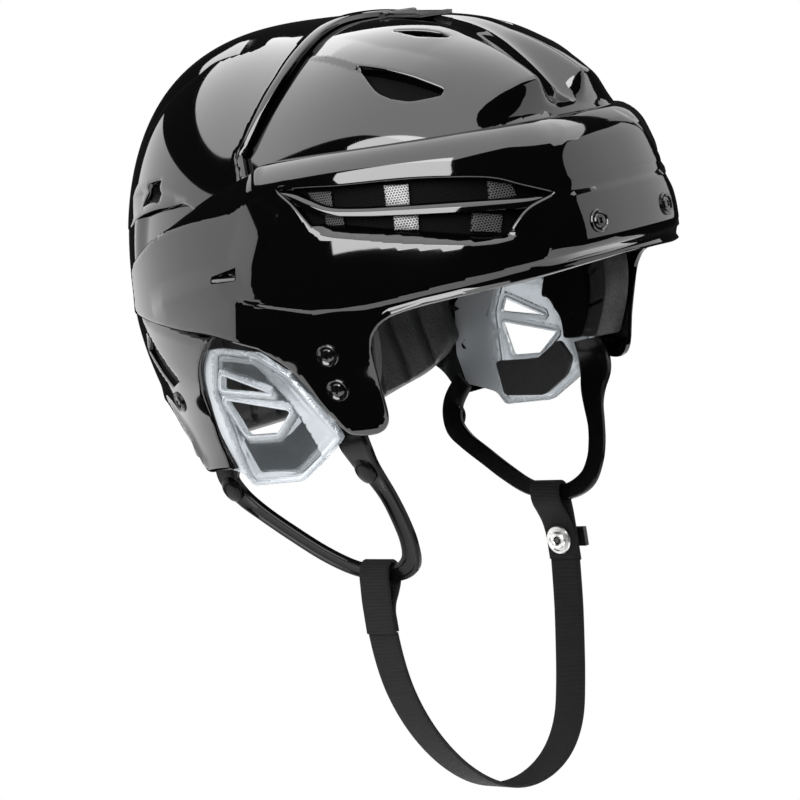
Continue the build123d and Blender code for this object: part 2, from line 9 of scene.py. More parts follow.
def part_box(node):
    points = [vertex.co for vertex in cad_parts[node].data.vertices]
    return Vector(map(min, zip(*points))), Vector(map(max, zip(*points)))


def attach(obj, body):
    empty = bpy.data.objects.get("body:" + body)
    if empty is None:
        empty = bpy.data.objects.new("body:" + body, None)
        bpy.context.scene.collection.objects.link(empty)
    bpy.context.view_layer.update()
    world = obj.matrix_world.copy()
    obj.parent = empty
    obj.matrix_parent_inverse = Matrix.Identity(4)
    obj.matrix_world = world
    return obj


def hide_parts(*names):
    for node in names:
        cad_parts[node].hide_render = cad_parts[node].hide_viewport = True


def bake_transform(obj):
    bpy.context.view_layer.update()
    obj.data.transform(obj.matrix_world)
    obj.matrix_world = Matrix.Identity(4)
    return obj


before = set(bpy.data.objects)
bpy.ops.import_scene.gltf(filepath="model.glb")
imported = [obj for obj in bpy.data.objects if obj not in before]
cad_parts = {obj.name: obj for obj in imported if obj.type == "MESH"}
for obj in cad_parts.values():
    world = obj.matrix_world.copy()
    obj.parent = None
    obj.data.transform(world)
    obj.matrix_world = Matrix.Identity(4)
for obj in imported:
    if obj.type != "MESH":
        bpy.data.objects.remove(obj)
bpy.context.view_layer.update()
scene = bpy.context.scene
print("frame loaded")

# Lengths are millimetres, unless a note says metres, and are written to the meshes in metres.
# The wearer's right is -X and carries the side name "right".
millimetre = 0.001
perMetre = 1000
farAway = 1e9  # more than any distance on the helmet
insideShell = (0.0, -6.0, 30.0)  # tells which way a face looks
insideGuards = (0.0, -10.0, -10.0)

camera = {
    "azimuth": -48.03,
    "elevation": 6.17,
    "roll": -9.24,
    "distance": 1269.9,
    "lens": 124.82,
    "sensor": 36.0,
    "aside": 0.002783,
    "down": 0.017348,
}


# The camera stands on a sphere round the origin, rolled, and is turned off the origin by its two offsets
def placeCamera():
    turn = math.radians(camera["azimuth"])
    tilt = math.radians(camera["elevation"])
    roll = math.radians(camera["roll"])
    back = Vector((math.sin(turn) * math.cos(tilt), -math.cos(turn) * math.cos(tilt), math.sin(tilt)))
    level = Vector((math.cos(turn), math.sin(turn), 0.0))
    top = back.cross(level)
    right = level * math.cos(roll) + top * math.sin(roll)
    up = top * math.cos(roll) - level * math.sin(roll)
    middle = (right * camera["aside"] - up * camera["down"] - back).normalized()
    newBack = -middle
    newRight = up.cross(newBack).normalized()
    newUp = newBack.cross(newRight)
    data = bpy.data.cameras.new("mainCamera")
    data.lens = camera["lens"]
    data.sensor_width = camera["sensor"]
    data.clip_end = 20.0
    data.dof.use_dof = False
    obj = bpy.data.objects.new("mainCamera", data)
    scene.collection.objects.link(obj)
    eye = back * camera["distance"] * millimetre
    rotation = Matrix((newRight, newUp, newBack)).transposed()
    obj.matrix_world = Matrix.Translation(eye) @ rotation.to_4x4()
    scene.camera = obj


placeCamera()

# The chin strap's route in metres, from the right loop down and up to the left one
strapRoute = [
    (-0.0665, -0.028, -0.1140), (-0.0665, -0.029, -0.1320), (-0.0612, -0.033, -0.1555),
    (-0.0502, -0.037, -0.1755), (-0.0350, -0.040, -0.1905), (-0.0165, -0.041, -0.1995),
    (0.0038, -0.041, -0.2015), (0.0237, -0.040, -0.1965), (0.0400, -0.037, -0.1850),
    (0.0518, -0.032, -0.1680), (0.0600, -0.029, -0.1480), (0.0645, -0.028, -0.1310),
    (0.0665, -0.028, -0.1140),
]


# Points along a spline of order three that starts and ends on the route's own ends
def splinePoints(name, route, resolution=10):
    curve = bpy.data.curves.new(name, "CURVE")
    curve.dimensions = "3D"
    line = curve.splines.new("NURBS")
    line.points.add(len(route) - 1)
    for point, place in zip(line.points, route):
        point.co = (*place, 1.0)
    line.order_u = 3
    line.use_endpoint_u = True
    line.resolution_u = resolution
    obj = bpy.data.objects.new(name, curve)
    scene.collection.objects.link(obj)
    bpy.context.view_layer.update()
    mesh = bpy.data.meshes.new_from_object(obj)
    points = np.empty(len(mesh.vertices) * 3)
    mesh.vertices.foreach_get("co", points)
    bpy.data.objects.remove(obj)
    return points.reshape(-1, 3)


strapPath = splinePoints("strapLine", strapRoute)
print("strap length", np.sum(np.linalg.norm(np.diff(strapPath, axis=0), axis=1)))

# The bare dome: radii from the ear line, half widths and the two powers of its cross outline,
# every 30 degrees from 30 under straight ahead, over the crown, to 60 under straight back.
dome = {
    "halfWidth": 110.0,
    "radius": 170.0,
    "forward": 6.0,
    "drop": 10.0,
    "start": -30.0,
    "pitch": 30.0,
    "radiusShares": (0.64, 0.71, 0.895, 1.0, 0.965, 1.02, 0.835, 0.653, 0.635, 0.63),
    "widthShares": (0.89, 0.918, 0.945, 0.99, 1.0, 0.982, 0.955, 0.918, 0.909, 0.9),
    "sidePowers": (0.89, 0.87, 0.84, 0.81, 0.85, 0.9, 0.91, 0.91, 0.9, 0.88),
    "archPowers": (0.91, 0.91, 0.87, 0.85, 0.88, 0.92, 0.96, 0.98, 0.97, 0.95),
}

bandOut = 3.8  # the band's face over the bare dome
bandWall = 2.9
capOut = -3.3  # the crown cap's face
shellWall = 3.0
rowShare = 0.866  # rows of a grid of even triangles, as a share of their side


# Smooth curve through the dome's keys: a cubic between two keys, with the slope of their neighbours
def between(keys, angle):
    knots = np.array((2 * keys[0] - keys[1],) + tuple(keys) + (2 * keys[-1] - keys[-2],))
    place = (np.asarray(angle, float) - dome["start"]) / dome["pitch"]
    first = np.clip(np.floor(place).astype(int), 0, len(keys) - 2)
    part = place - first
    a, b, c, d = knots[first], knots[first + 1], knots[first + 2], knots[first + 3]
    curve = (2 * a - 5 * b + 4 * c - d) * part**2 + (3 * b - a - 3 * c + d) * part**3
    return (2 * b + (c - a) * part + curve) / 2


# Sine and cosine of the share, each raised to its power, times half width and radius, swung over the crown
def hoodPoint(share, angle, step):
    turn = np.radians(90 * np.minimum(np.abs(share), 1.0))
    half = dome["halfWidth"] * between(dome["widthShares"], angle) + step
    radius = dome["radius"] * between(dome["radiusShares"], angle) + step
    out = np.sign(share) * half * np.sin(turn) ** between(dome["sidePowers"], angle)
    up = radius * np.cos(turn) ** between(dome["archPowers"], angle)
    swing = np.radians(angle)
    return np.stack([out, -dome["forward"] - up * np.cos(swing), -dome["drop"] + up * np.sin(swing)], -1)


# Sum of the two outline powers less one: negative inside the dome, positive outside
def domeExcess(x, y, z, step):
    up = np.hypot(y + dome["forward"], z + dome["drop"])
    angle = np.degrees(np.arctan2(z + dome["drop"], -(y + dome["forward"])))
    angle = np.where(angle < -60, angle + 360, angle)
    half = dome["halfWidth"] * between(dome["widthShares"], angle) + step
    radius = dome["radius"] * between(dome["radiusShares"], angle) + step
    side = (np.abs(x) / half) ** (2 / between(dome["sidePowers"], angle))
    return side + (up / radius) ** (2 / between(dome["archPowers"], angle)) - 1


halvings = {"band": 34, "cap": 40, "reach": 220.0}  # rounds of halving, and the reach they start from


# Halves the way out from the axis at one height until it meets the dome
def bandPoint(around, z, step):
    swing = np.radians(around)
    near = np.zeros_like(z)
    far = np.full_like(z, halvings["reach"])
    for _ in range(halvings["band"]):
        middle = (near + far) / 2
        outside = domeExcess(-middle * np.sin(swing), -middle * np.cos(swing), z, step) > 0
        far = np.where(outside, middle, far)
        near = np.where(outside, near, middle)
    reach = (near + far) / 2
    return np.stack([-reach * np.sin(swing), -reach * np.cos(swing), z], -1)


# A chart turns flat millimetres into a point on the dome. "hood" counts shares and angles,
# "band" counts degrees from straight ahead towards the wearer's right, and heights.
hood = {"scale": np.array([170.0, 2.6]), "point": hoodPoint}
band = {"scale": np.array([2.1, 1.0]), "point": bandPoint}


# Flat millimetres over the chart's scale go into its point function
def onChart(chart, flat, step):
    place = flat / chart["scale"]
    return chart["point"](place[:, 0], place[:, 1], step)


# Cubic through the points, each with the slope of its neighbours, in steps of about the gap
def run(points, gap=1.5, closed=False):
    points = np.asarray(points, float)
    if closed:
        keys = np.concatenate([points[-1:], points, points[:2]])
    else:
        keys = np.concatenate([2 * points[:1] - points[1:2], points, 2 * points[-1:] - points[-2:-1]])
    made = []
    for a, b, c, d in zip(keys, keys[1:], keys[2:], keys[3:]):
        count = max(1, int(round(np.linalg.norm(c - b) / gap)))
        t = (np.arange(count) / count)[:, None]
        bend = (2 * a - 5 * b + 4 * c - d) * t**2 + (3 * b - a - 3 * c + d) * t**3
        made.append((2 * b + (c - a) * t + bend) / 2)
    if not closed:
        made.append(points[-1:])
    return np.concatenate(made)


# Closed outline from smooth runs that meet at corners
def loop(chart, *runs, gap=1.5):
    parts = []
    for points in runs:
        parts.append(run(np.asarray(points, float) * chart["scale"], gap)[:-1])
    return np.concatenate(parts)


# Closed outline of straight edges
def polygon(chart, points, gap=1.5):
    pairs = zip(points, list(points[1:]) + [points[0]])
    return loop(chart, *[[a, b] for a, b in pairs], gap=gap)


# The outline's mirror image, turned round so that it runs the same way
def flip(flat):
    return (flat * np.array([-1.0, 1.0]))[::-1]


# Distance to a line, which side of it, and how far along it the nearest point is
def nearest(flat, line, closed):
    best = np.full(len(flat), farAway)
    side = np.zeros(len(flat))
    place = np.zeros(len(flat))
    ends = list(zip(line, np.roll(line, -1, axis=0) if closed else line[1:]))
    travelled = 0.0
    for a, b in ends:
        along = b - a
        length = math.hypot(along[0], along[1])
        if length < 1e-9:
            continue
        along = along / length
        off = flat - a
        t = np.clip(off @ along, 0, length)
        gap = np.hypot(off[:, 0] - t * along[0], off[:, 1] - t * along[1])
        closer = gap < best
        best = np.where(closer, gap, best)
        side = np.where(closer, np.sign(along[0] * off[:, 1] - along[1] * off[:, 0]), side)
        place = np.where(closer, travelled + t, place)
        travelled += length
    return best, side, place


# A point is inside a ring when a level line from it crosses the ring an odd number of times
def inside(flat, ring):
    found = np.zeros(len(flat), bool)
    for (ax, ay), (bx, by) in zip(ring, np.roll(ring, -1, axis=0)):
        if ay == by:
            continue
        crosses = (flat[:, 1] > min(ay, by)) & (flat[:, 1] <= max(ay, by))
        x = ax + (flat[:, 1] - ay) * (bx - ax) / (by - ay)
        found ^= crosses & (flat[:, 0] < x)
    return found


# Inside the outline and outside all its holes
def within(flat, outline, holes):
    keep = inside(flat, outline)
    for ring in holes:
        keep &= ~inside(flat, ring)
    return keep


# Pieces of a line that runs inside a closed outline, or outside a hole, at a distance
def inset(ring, distance, hole=False):
    area = 0.5 * np.sum(ring[:, 0] * np.roll(ring[:, 1], -1) - np.roll(ring[:, 0], -1) * ring[:, 1])
    along = np.roll(ring, -1, axis=0) - np.roll(ring, 1, axis=0)
    along /= np.maximum(np.linalg.norm(along, axis=1), 1e-9)[:, None]
    inward = np.stack([-along[:, 1], along[:, 0]], 1) * (1 if (area > 0) != hole else -1)
    moved = ring + inward * distance
    gap = nearest(moved, ring, True)[0]
    fine = gap > 0.93 * distance
    return split(moved, fine, True)


# The line moved sideways, square to its own direction
def beside(line, distance):
    along = np.gradient(line, axis=0)
    along /= np.maximum(np.linalg.norm(along, axis=1), 1e-9)[:, None]
    return line + np.stack([-along[:, 1], along[:, 0]], 1) * distance


# The parts of a line that are kept, each as a line of its own
def split(line, keep, closed):
    if keep.all():
        return [np.concatenate([line, line[:1]]) if closed else line]
    start = int(np.argmin(keep)) if closed else 0
    order = np.roll(np.arange(len(line)), -start) if closed else np.arange(len(line))
    parts, current = [], []
    for i in order:
        if keep[i]:
            current.append(line[i])
        elif current:
            parts.append(np.array(current))
            current = []
    if current:
        parts.append(np.array(current))
    return [part for part in parts if len(part) > 1]


# Triangles over a flat outline: its rings, its soft lines and a grid of even triangles between them
def triangulate(outline, holes, rims, lines, gap):
    rings = [outline] + holes
    points = np.concatenate(rings)
    edges = []
    count = 0
    for ring in rings:
        edges += [(count + i, count + (i + 1) % len(ring)) for i in range(len(ring))]
        count += len(ring)
    soft = []
    for line, room in [(line, 0.1) for line in rims] + [(line, 0.9) for line in lines]:
        clear = within(line, outline, holes)
        for ring in rings:
            clear &= nearest(line, ring, True)[0] > room
        soft += split(line, clear, False)
    for line in soft:
        edges += [(count + i, count + i + 1) for i in range(len(line) - 1)]
        count += len(line)
    low, high = outline.min(0), outline.max(0)
    rows = np.arange(low[1], high[1], gap * rowShare)
    columns = np.arange(low[0], high[0] + gap, gap)
    x, y = np.meshgrid(columns, rows)
    x = x + np.where(np.arange(len(rows)) % 2, gap / 2, 0)[:, None]
    grid = np.stack([x.ravel(), y.ravel()], 1)
    grid = grid[within(grid, outline, holes)]
    for line in rings:
        grid = grid[nearest(grid, line, True)[0] > 0.5 * gap]
    for line in soft:
        grid = grid[nearest(grid, line, False)[0] > 0.5 * gap]
    everything = np.concatenate([points] + soft + [grid])
    made = delaunay_2d_cdt(everything.tolist(), edges, [], 0, 1e-4, False)
    flat = np.array([tuple(p) for p in made[0]])
    faces = np.array(made[2], int)
    faces = faces[within(flat[faces].mean(1), outline, holes)]
    return flat, faces


# A mesh from points in millimetres, smooth but for edges over the sharp angle
def addMesh(name, points, faces, material, sharp=35.0, uv=None, indices=None):
    mesh = bpy.data.meshes.new(name)
    points = np.asarray(points, float) * millimetre
    faces = np.asarray(faces, int)
    mesh.vertices.add(len(points))
    mesh.vertices.foreach_set("co", points.ravel())
    mesh.loops.add(faces.size)
    mesh.loops.foreach_set("vertex_index", faces.ravel())
    mesh.polygons.add(len(faces))
    mesh.polygons.foreach_set("loop_start", np.arange(0, faces.size, faces.shape[1]))
    mesh.update(calc_edges=True)
    if uv is not None:
        layer = mesh.uv_layers.new(name="flat")
        layer.data.foreach_set("uv", np.asarray(uv, float)[faces.ravel()].ravel())
    mesh.polygons.foreach_set("use_smooth", np.ones(len(mesh.polygons), bool))
    materials = material if isinstance(material, list) else [material]
    for made in materials:
        mesh.materials.append(made)
    if indices is not None:
        mesh.polygons.foreach_set("material_index", np.asarray(indices, np.int32))
    mesh.validate()
    mesh.set_sharp_from_angle(angle=math.radians(sharp))
    obj = bpy.data.objects.new(name, mesh)
    scene.collection.objects.link(obj)
    return obj


# The same piece on the wearer's left
def twin(obj, name):
    mesh = obj.data.copy()
    mesh.name = name
    points = np.empty(len(mesh.vertices) * 3)
    mesh.vertices.foreach_get("co", points)
    points = points.reshape(-1, 3) * np.array([-1.0, 1.0, 1.0])
    mesh.vertices.foreach_set("co", points.ravel())
    mesh.flip_normals()
    mesh.update()
    other = bpy.data.objects.new(name, mesh)
    scene.collection.objects.link(other)
    return other


# A right-hand piece and its twin ride one body and may stand for the two sides of one solid
def bothSides(piece, body, solid=None):
    for side in ("right", "left"):
        if side == "left":
            piece = twin(piece, piece.name.replace("Right", "Left"))
        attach(piece, body)
        if solid:
            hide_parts(solid + "_" + side)


# Edges that belong to one face only
def boundaryEdges(faces):
    pairs = np.concatenate([faces[:, [0, 1]], faces[:, [1, 2]], faces[:, [2, 0]]])
    key = np.sort(pairs, 1)
    _, index, counts = np.unique(key, axis=0, return_index=True, return_counts=True)
    return pairs[index[counts == 1]]


# Points that share a place within a ten thousandth of a millimetre become one
def weld(points, faces):
    key = np.round(points / 1e-4).astype(np.int64)
    _, first, back = np.unique(key, axis=0, return_index=True, return_inverse=True)
    faces = back.ravel()[faces]
    fine = (faces[:, 0] != faces[:, 1]) & (faces[:, 1] != faces[:, 2]) & (faces[:, 2] != faces[:, 0])
    return points[first], faces[fine]


# Height over the chart: plateaus rise over their ramp, folds fall off from their line, then the
# plan's own lift
def liftOf(flat, plan):
    lift = np.zeros(len(flat))
    for part in plan.get("plateaus", []):
        gap = nearest(flat, part["loop"], True)[0]
        share = np.clip(gap / part["ramp"], 0, 1)
        lift += np.where(inside(flat, part["loop"]), part["rise"] * share, 0)
    for part in plan.get("folds", []):
        gap, side, place = nearest(flat, part["line"], False)
        width = np.where(side > 0, part["left"], part["right"])
        total = np.sum(np.linalg.norm(np.diff(part["line"], axis=0), axis=1))
        fade = np.clip(np.minimum(place, total - place) / part["fade"], 0, 1)
        lift += part["rise"] * np.clip(1 - gap / width, 0, 1) * fade
    if "lift" in plan:
        place = flat / plan["chart"]["scale"]
        lift += plan["lift"](place[:, 0], place[:, 1])
    return lift


rimRoom = 1.2  # room under the face, beyond the rounding of its rim


# The inner skin lies a wall's thickness in, or further in where the face itself is sunk
def innerStep(flat, plan, radius):
    return np.minimum(liftOf(flat, plan) - rimRoom - radius, -plan["thick"])


# Closed sheet on a chart: the face, lifted and rounded at its rims, the inner skin, and walls between them
def shellSheet(name, plan, material):
    chart = plan["chart"]
    outline, holes = plan["outline"], plan.get("holes", [])
    rings = [outline] + holes
    radius = plan.get("round", 0.6)
    rims, lines = [], []
    for i, ring in enumerate(rings):
        for share in (0.3, 1.0):
            rims += inset(ring, share * radius, i > 0)
    for part in plan.get("plateaus", []):
        ring = part["loop"]
        lines.append(np.concatenate([ring, ring[:1]]))
        lines += inset(ring, part["ramp"])
    for part in plan.get("folds", []):
        lines.append(part["line"])
        for width, way in ((part["left"], 1), (part["right"], -1)):
            if width < 4:
                lines.append(beside(part["line"], way * width))
    lines += plan.get("lines", [])
    flat, faces = triangulate(outline, holes, rims, lines, plan.get("gap", 1.6))
    gap = np.full(len(flat), farAway)
    for ring in rings:
        gap = np.minimum(gap, nearest(flat, ring, True)[0])
    left = np.clip(radius - gap, 0, radius)
    drop = radius - np.sqrt(np.maximum(radius**2 - left**2, 0))
    lift = liftOf(flat, plan)
    facing = -1 if plan.get("inward") else 1
    over = onChart(chart, flat, facing * (plan["base"] + lift - drop))
    under, back = triangulate(outline, holes, [], [], plan.get("innerGap", 5.0))
    below = onChart(chart, under, facing * (plan["base"] + innerStep(under, plan, radius)))
    rim = boundaryEdges(faces)
    corners = flat[rim].reshape(-1, 2)
    foot = onChart(chart, corners, facing * (plan["base"] + innerStep(corners, plan, radius)))
    count = len(over)
    index = np.arange(len(rim))
    a, b = rim[:, 0], rim[:, 1]
    lowA, lowB = count + 2 * index, count + 2 * index + 1
    walls = np.concatenate([np.stack([b, a, lowA], 1), np.stack([b, lowA, lowB], 1)])
    offset = count + len(foot)
    points = np.concatenate([over, foot, below])
    allFaces = np.concatenate([faces, walls, back[:, ::-1] + offset])
    middle = np.array(plan.get("middle", insideShell))
    corner = over[faces]
    normal = np.cross(corner[:, 1] - corner[:, 0], corner[:, 2] - corner[:, 0])
    if facing * np.sum(normal * (corner.mean(1) - middle)) < 0:
        allFaces = allFaces[:, ::-1]
    points, allFaces = weld(points, allFaces)
    return addMesh(name, points, allFaces, material, plan.get("sharp", 32.0))


# A shader node: its settings first, then each input as a link or as a value
def node(tree, kind, inputs=None, **settings):
    made = tree.nodes.new(kind)
    for key, value in settings.items():
        setattr(made, key, value)
    for key, value in (inputs or {}).items():
        if isinstance(value, bpy.types.NodeSocket):
            tree.links.new(value, made.inputs[key])
        else:
            made.inputs[key].default_value = value
    return made


def startMaterial(name, settings):
    made = bpy.data.materials.new(name)
    made.use_nodes = True
    shader = made.node_tree.nodes["Principled BSDF"]
    for key, value in settings.items():
        shader.inputs[key].default_value = value
    return made, made.node_tree, shader


# One step of arithmetic on up to three values
def mathNode(tree, operation, a, b=0.0, c=0.0):
    return node(tree, "ShaderNodeMath", {0: a, 1: b, 2: c}, operation=operation).outputs[0]


# One step of arithmetic on two vectors
def vectorNode(tree, operation, a, b=(0.0, 0.0, 0.0)):
    return node(tree, "ShaderNodeVectorMath", {0: a, 1: b}, operation=operation)


# Noise over the place
def noise(tree, place, scale, detail=4.0, rough=0.55):
    inputs = {"Vector": place, "Scale": scale, "Detail": detail, "Roughness": rough}
    return node(tree, "ShaderNodeTexNoise", inputs)


# Maps a value from one range to another
def ramp(tree, value, low, high, start=0.0, end=1.0):
    inputs = {"Value": value, "From Min": low, "From Max": high, "To Min": start, "To Max": end}
    return node(tree, "ShaderNodeMapRange", inputs).outputs[0]


# Mixes two colours by a share
def blendColor(tree, share, a, b):
    made = node(tree, "ShaderNodeMix", {0: share}, data_type="RGBA")
    for index, value in ((6, a), (7, b)):
        if isinstance(value, bpy.types.NodeSocket):
            tree.links.new(value, made.inputs[index])
        else:
            made.inputs[index].default_value = value
    return made.outputs[2]


# A height bends the shader's normals
def bump(tree, shader, height, distance, strength=1.0):
    made = node(tree, "ShaderNodeBump", {"Height": height, "Distance": distance, "Strength": strength})
    tree.links.new(made.outputs[0], shader.inputs["Normal"])


# The object's own coordinates, in metres
def objectPlace(tree):
    return node(tree, "ShaderNodeTexCoord").outputs["Object"]


# The flat coordinates that are stored on the mesh
def flatPlace(tree):
    return node(tree, "ShaderNodeUVMap", uv_map="flat").outputs[0]


# A grey, bluer by the tint
def gray(value, tint=0.0):
    return (value, value, value * (1 + tint), 1.0)


# A node group with a place and numbers going in and numbers coming out
def startGroup(name, inputs, outputs):
    group = bpy.data.node_groups.new(name, "ShaderNodeTree")
    group.interface.new_socket("Place", in_out="INPUT", socket_type="NodeSocketVector")
    for label in inputs:
        group.interface.new_socket(label, in_out="INPUT", socket_type="NodeSocketFloat")
    for label in outputs:
        group.interface.new_socket(label, in_out="OUTPUT", socket_type="NodeSocketFloat")
    return group, node(group, "NodeGroupInput").outputs


# Fine unevenness of a surface: one noise, read as a height
def makeGrain():
    group, given = startGroup("grain", ("Scale", "Detail"), ("Height",))
    field = noise(group, given["Place"], given["Scale"], given["Detail"])
    node(group, "NodeGroupOutput", {"Height": field.outputs[0]})
    return group


# Handling wear: a noise between From and To moves the roughness from Low to High
def makeWear():
    group, given = startGroup("wear", ("Scale", "Detail", "From", "To", "Low", "High"), ("Roughness",))
    field = noise(group, given["Place"], given["Scale"], given["Detail"])
    spread = ramp(group, field.outputs[0], given["From"], given["To"], given["Low"], given["High"])
    node(group, "NodeGroupOutput", {"Roughness": spread})
    return group


# Felted fibres: a fine noise and a cloudy one, added by their two shares
def makeFibre():
    labels = ("Fine Scale", "Cloud Scale", "Fine Share", "Cloud Share")
    group, given = startGroup("fibre", labels, ("Shade", "Fine", "Cloud"))
    fine = noise(group, given["Place"], given["Fine Scale"], 6.0, 0.7).outputs[0]
    cloud = noise(group, given["Place"], given["Cloud Scale"], 5.0).outputs[0]
    dim = mathNode(group, "MULTIPLY", cloud, given["Cloud Share"])
    shade = mathNode(group, "MULTIPLY_ADD", fine, given["Fine Share"], dim)
    node(group, "NodeGroupOutput", {"Shade": shade, "Fine": fine, "Cloud": cloud})
    return group


grainGroup = makeGrain()
wearGroup = makeWear()
fibreGroup = makeFibre()


# Puts a group into a material with its place and values
def placeGroup(tree, group, place, values):
    return node(tree, "ShaderNodeGroup", {"Place": place, **values}, node_tree=group).outputs


# The wear group sets the shader's roughness
def wearOn(tree, shader, place, scale, detail, span, reach):
    worn = placeGroup(tree, wearGroup, place, {
        "Scale": scale, "Detail": detail, "From": span[0], "To": span[1], "Low": reach[0], "High": reach[1],
    })
    tree.links.new(worn["Roughness"], shader.inputs["Roughness"])


# Gloss paint: roughness worn up to 2.2 times its value, over slightly uneven normals
def glossMaterial(name, base, roughness, wave):
    made, tree, shader = startMaterial(name, {
        "Base Color": base, "Roughness": roughness, "IOR": 1.5, "Specular IOR Level": 0.5,
    })
    place = objectPlace(tree)
    wearOn(tree, shader, place, 9.0, 5.0, (0.45, 0.75), (roughness, roughness * 2.2))
    bump(tree, shader, placeGroup(tree, grainGroup, place, {"Scale": 55.0, "Detail": 2.0})["Height"], wave)
    return made


glossBlack = glossMaterial("glossBlack", gray(0.0005), 0.035, 0.00001)


# Plastic: roughness worn from 0.85 to 1.25 times its value, over a fine grain
def plasticMaterial(name, base, roughness, grain, shine=0.5):
    made, tree, shader = startMaterial(name, {
        "Base Color": base, "Roughness": roughness, "Specular IOR Level": shine,
    })
    place = objectPlace(tree)
    wearOn(tree, shader, place, 40.0, 4.0, (0.35, 0.7), (roughness * 0.85, roughness * 1.25))
    bump(tree, shader, placeGroup(tree, grainGroup, place, {"Scale": 900.0, "Detail": 3.0})["Height"], grain)
    return made


blackPlastic = plasticMaterial("blackPlastic", gray(0.0015), 0.3, 0.00006)
hangerPlastic = plasticMaterial("hangerPlastic", gray(0.0015), 0.22, 0.00003, 0.1)


# Felt: the fibres blend two greys and bend the normals
def feltMaterial(name, low, high):
    made, tree, shader = startMaterial(name, {
        "Roughness": 0.95, "Sheen Weight": 0.12, "Sheen Roughness": 0.5, "Specular IOR Level": 0.15,
    })
    fibre = placeGroup(tree, fibreGroup, objectPlace(tree), {
        "Fine Scale": 1400.0, "Cloud Scale": 120.0, "Fine Share": 0.7, "Cloud Share": 0.3,
    })
    shade = ramp(tree, fibre["Shade"], 0.3, 0.7)
    tree.links.new(blendColor(tree, shade, low, high), shader.inputs["Base Color"])
    bump(tree, shader, fibre["Fine"], 0.0006)
    return made


darkFelt = feltMaterial("darkFelt", gray(0.006, 0.05), gray(0.018, 0.05))


# Foam: a cloudy noise blends two greys, and small cells bend the normals
def foamMaterial(name, low, high, roughness, shine):
    made, tree, shader = startMaterial(name, {"Roughness": roughness, "Specular IOR Level": shine})
    place = objectPlace(tree)
    cells = node(tree, "ShaderNodeTexVoronoi", {"Vector": place, "Scale": 900.0})
    cloud = noise(tree, place, 60.0, 4.0)
    tree.links.new(blendColor(tree, cloud.outputs[0], low, high), shader.inputs["Base Color"])
    bump(tree, shader, cells.outputs["Distance"], 0.0003, 0.8)
    return made


liningFoam = foamMaterial("liningFoam", gray(0.03), gray(0.07), 0.45, 0.3)
blackFoam = foamMaterial("blackFoam", gray(0.0006), gray(0.0015), 0.8, 0.04)


# Felt on the front edge of the pad, foam on the rest of it
def templeMaterial(name, foam, felt):
    made, tree, shader = startMaterial(name, {"Roughness": 0.7, "Specular IOR Level": 0.25})
    front = node(tree, "ShaderNodeAttribute", attribute_name="front").outputs["Fac"]
    fibre = placeGroup(tree, fibreGroup, objectPlace(tree), {
        "Fine Scale": 1100.0, "Cloud Scale": 150.0, "Fine Share": 0.6, "Cloud Share": 0.4,
    })
    grey = blendColor(tree, ramp(tree, fibre["Shade"], 0.35, 0.65), felt[0], felt[1])
    black = blendColor(tree, fibre["Cloud"], foam[0], foam[1])
    tree.links.new(blendColor(tree, front, black, grey), shader.inputs["Base Color"])
    bump(tree, shader, fibre["Fine"], 0.0005)
    return made


templeFoam = templeMaterial("templeFoam", (gray(0.0015), gray(0.004)), (gray(0.02, 0.04), gray(0.07, 0.04)))


# Metal: roughness worn from 0.8 to 1.5 times its value
def metalMaterial(name, base, roughness):
    made, tree, shader = startMaterial(name, {"Base Color": base, "Roughness": roughness, "Metallic": 1.0})
    wearOn(tree, shader, objectPlace(tree), 300.0, 4.0, (0.3, 0.7), (roughness * 0.8, roughness * 1.5))
    return made


chrome = metalMaterial("chrome", (0.5, 0.5, 0.49, 1.0), 0.3)
steel = metalMaterial("steel", (0.45, 0.45, 0.45, 1.0), 0.3)
blackMetal = glossMaterial("blackMetal", gray(0.0015), 0.1, 0.00002)


weave = {"rib": 1.25, "thread": 1.1}  # the length of two ribs, and of two threads


# Ribs run across the webbing: the absolute sine along it, plus a quarter of the one across it
def webbingMaterial(name):
    made, tree, shader = startMaterial(name, {"Roughness": 0.6, "Specular IOR Level": 0.08})
    parts = node(tree, "ShaderNodeSeparateXYZ", {0: flatPlace(tree)})
    along = mathNode(tree, "MULTIPLY", parts.outputs[0], 2 * math.pi / weave["rib"])
    across = mathNode(tree, "MULTIPLY", parts.outputs[1], 2 * math.pi / weave["thread"])
    rib = mathNode(tree, "ABSOLUTE", mathNode(tree, "SINE", along))
    thread = mathNode(tree, "ABSOLUTE", mathNode(tree, "SINE", across))
    height = mathNode(tree, "MULTIPLY_ADD", thread, 0.25, rib)
    fuzz = noise(tree, objectPlace(tree), 1500.0, 3.0)
    # The colour follows the rib height: darker in the grooves between ribs and lighter on their tops, a
    # painted shade and painted highlight, broken up by a fine noise
    shade = mathNode(tree, "MULTIPLY", height, mathNode(tree, "ADD", fuzz.outputs[0], 0.4))
    color = blendColor(tree, ramp(tree, shade, 0.15, 1.0), gray(0.0003), gray(0.011))
    tree.links.new(color, shader.inputs["Base Color"])
    bump(tree, shader, height, 0.0005)
    return made


webbing = webbingMaterial("webbing")


meshHoles = {"pitch": (1.15, 1.992), "shift": (0.575, 0.996, 0.0), "edge": (0.3, 0.42)}


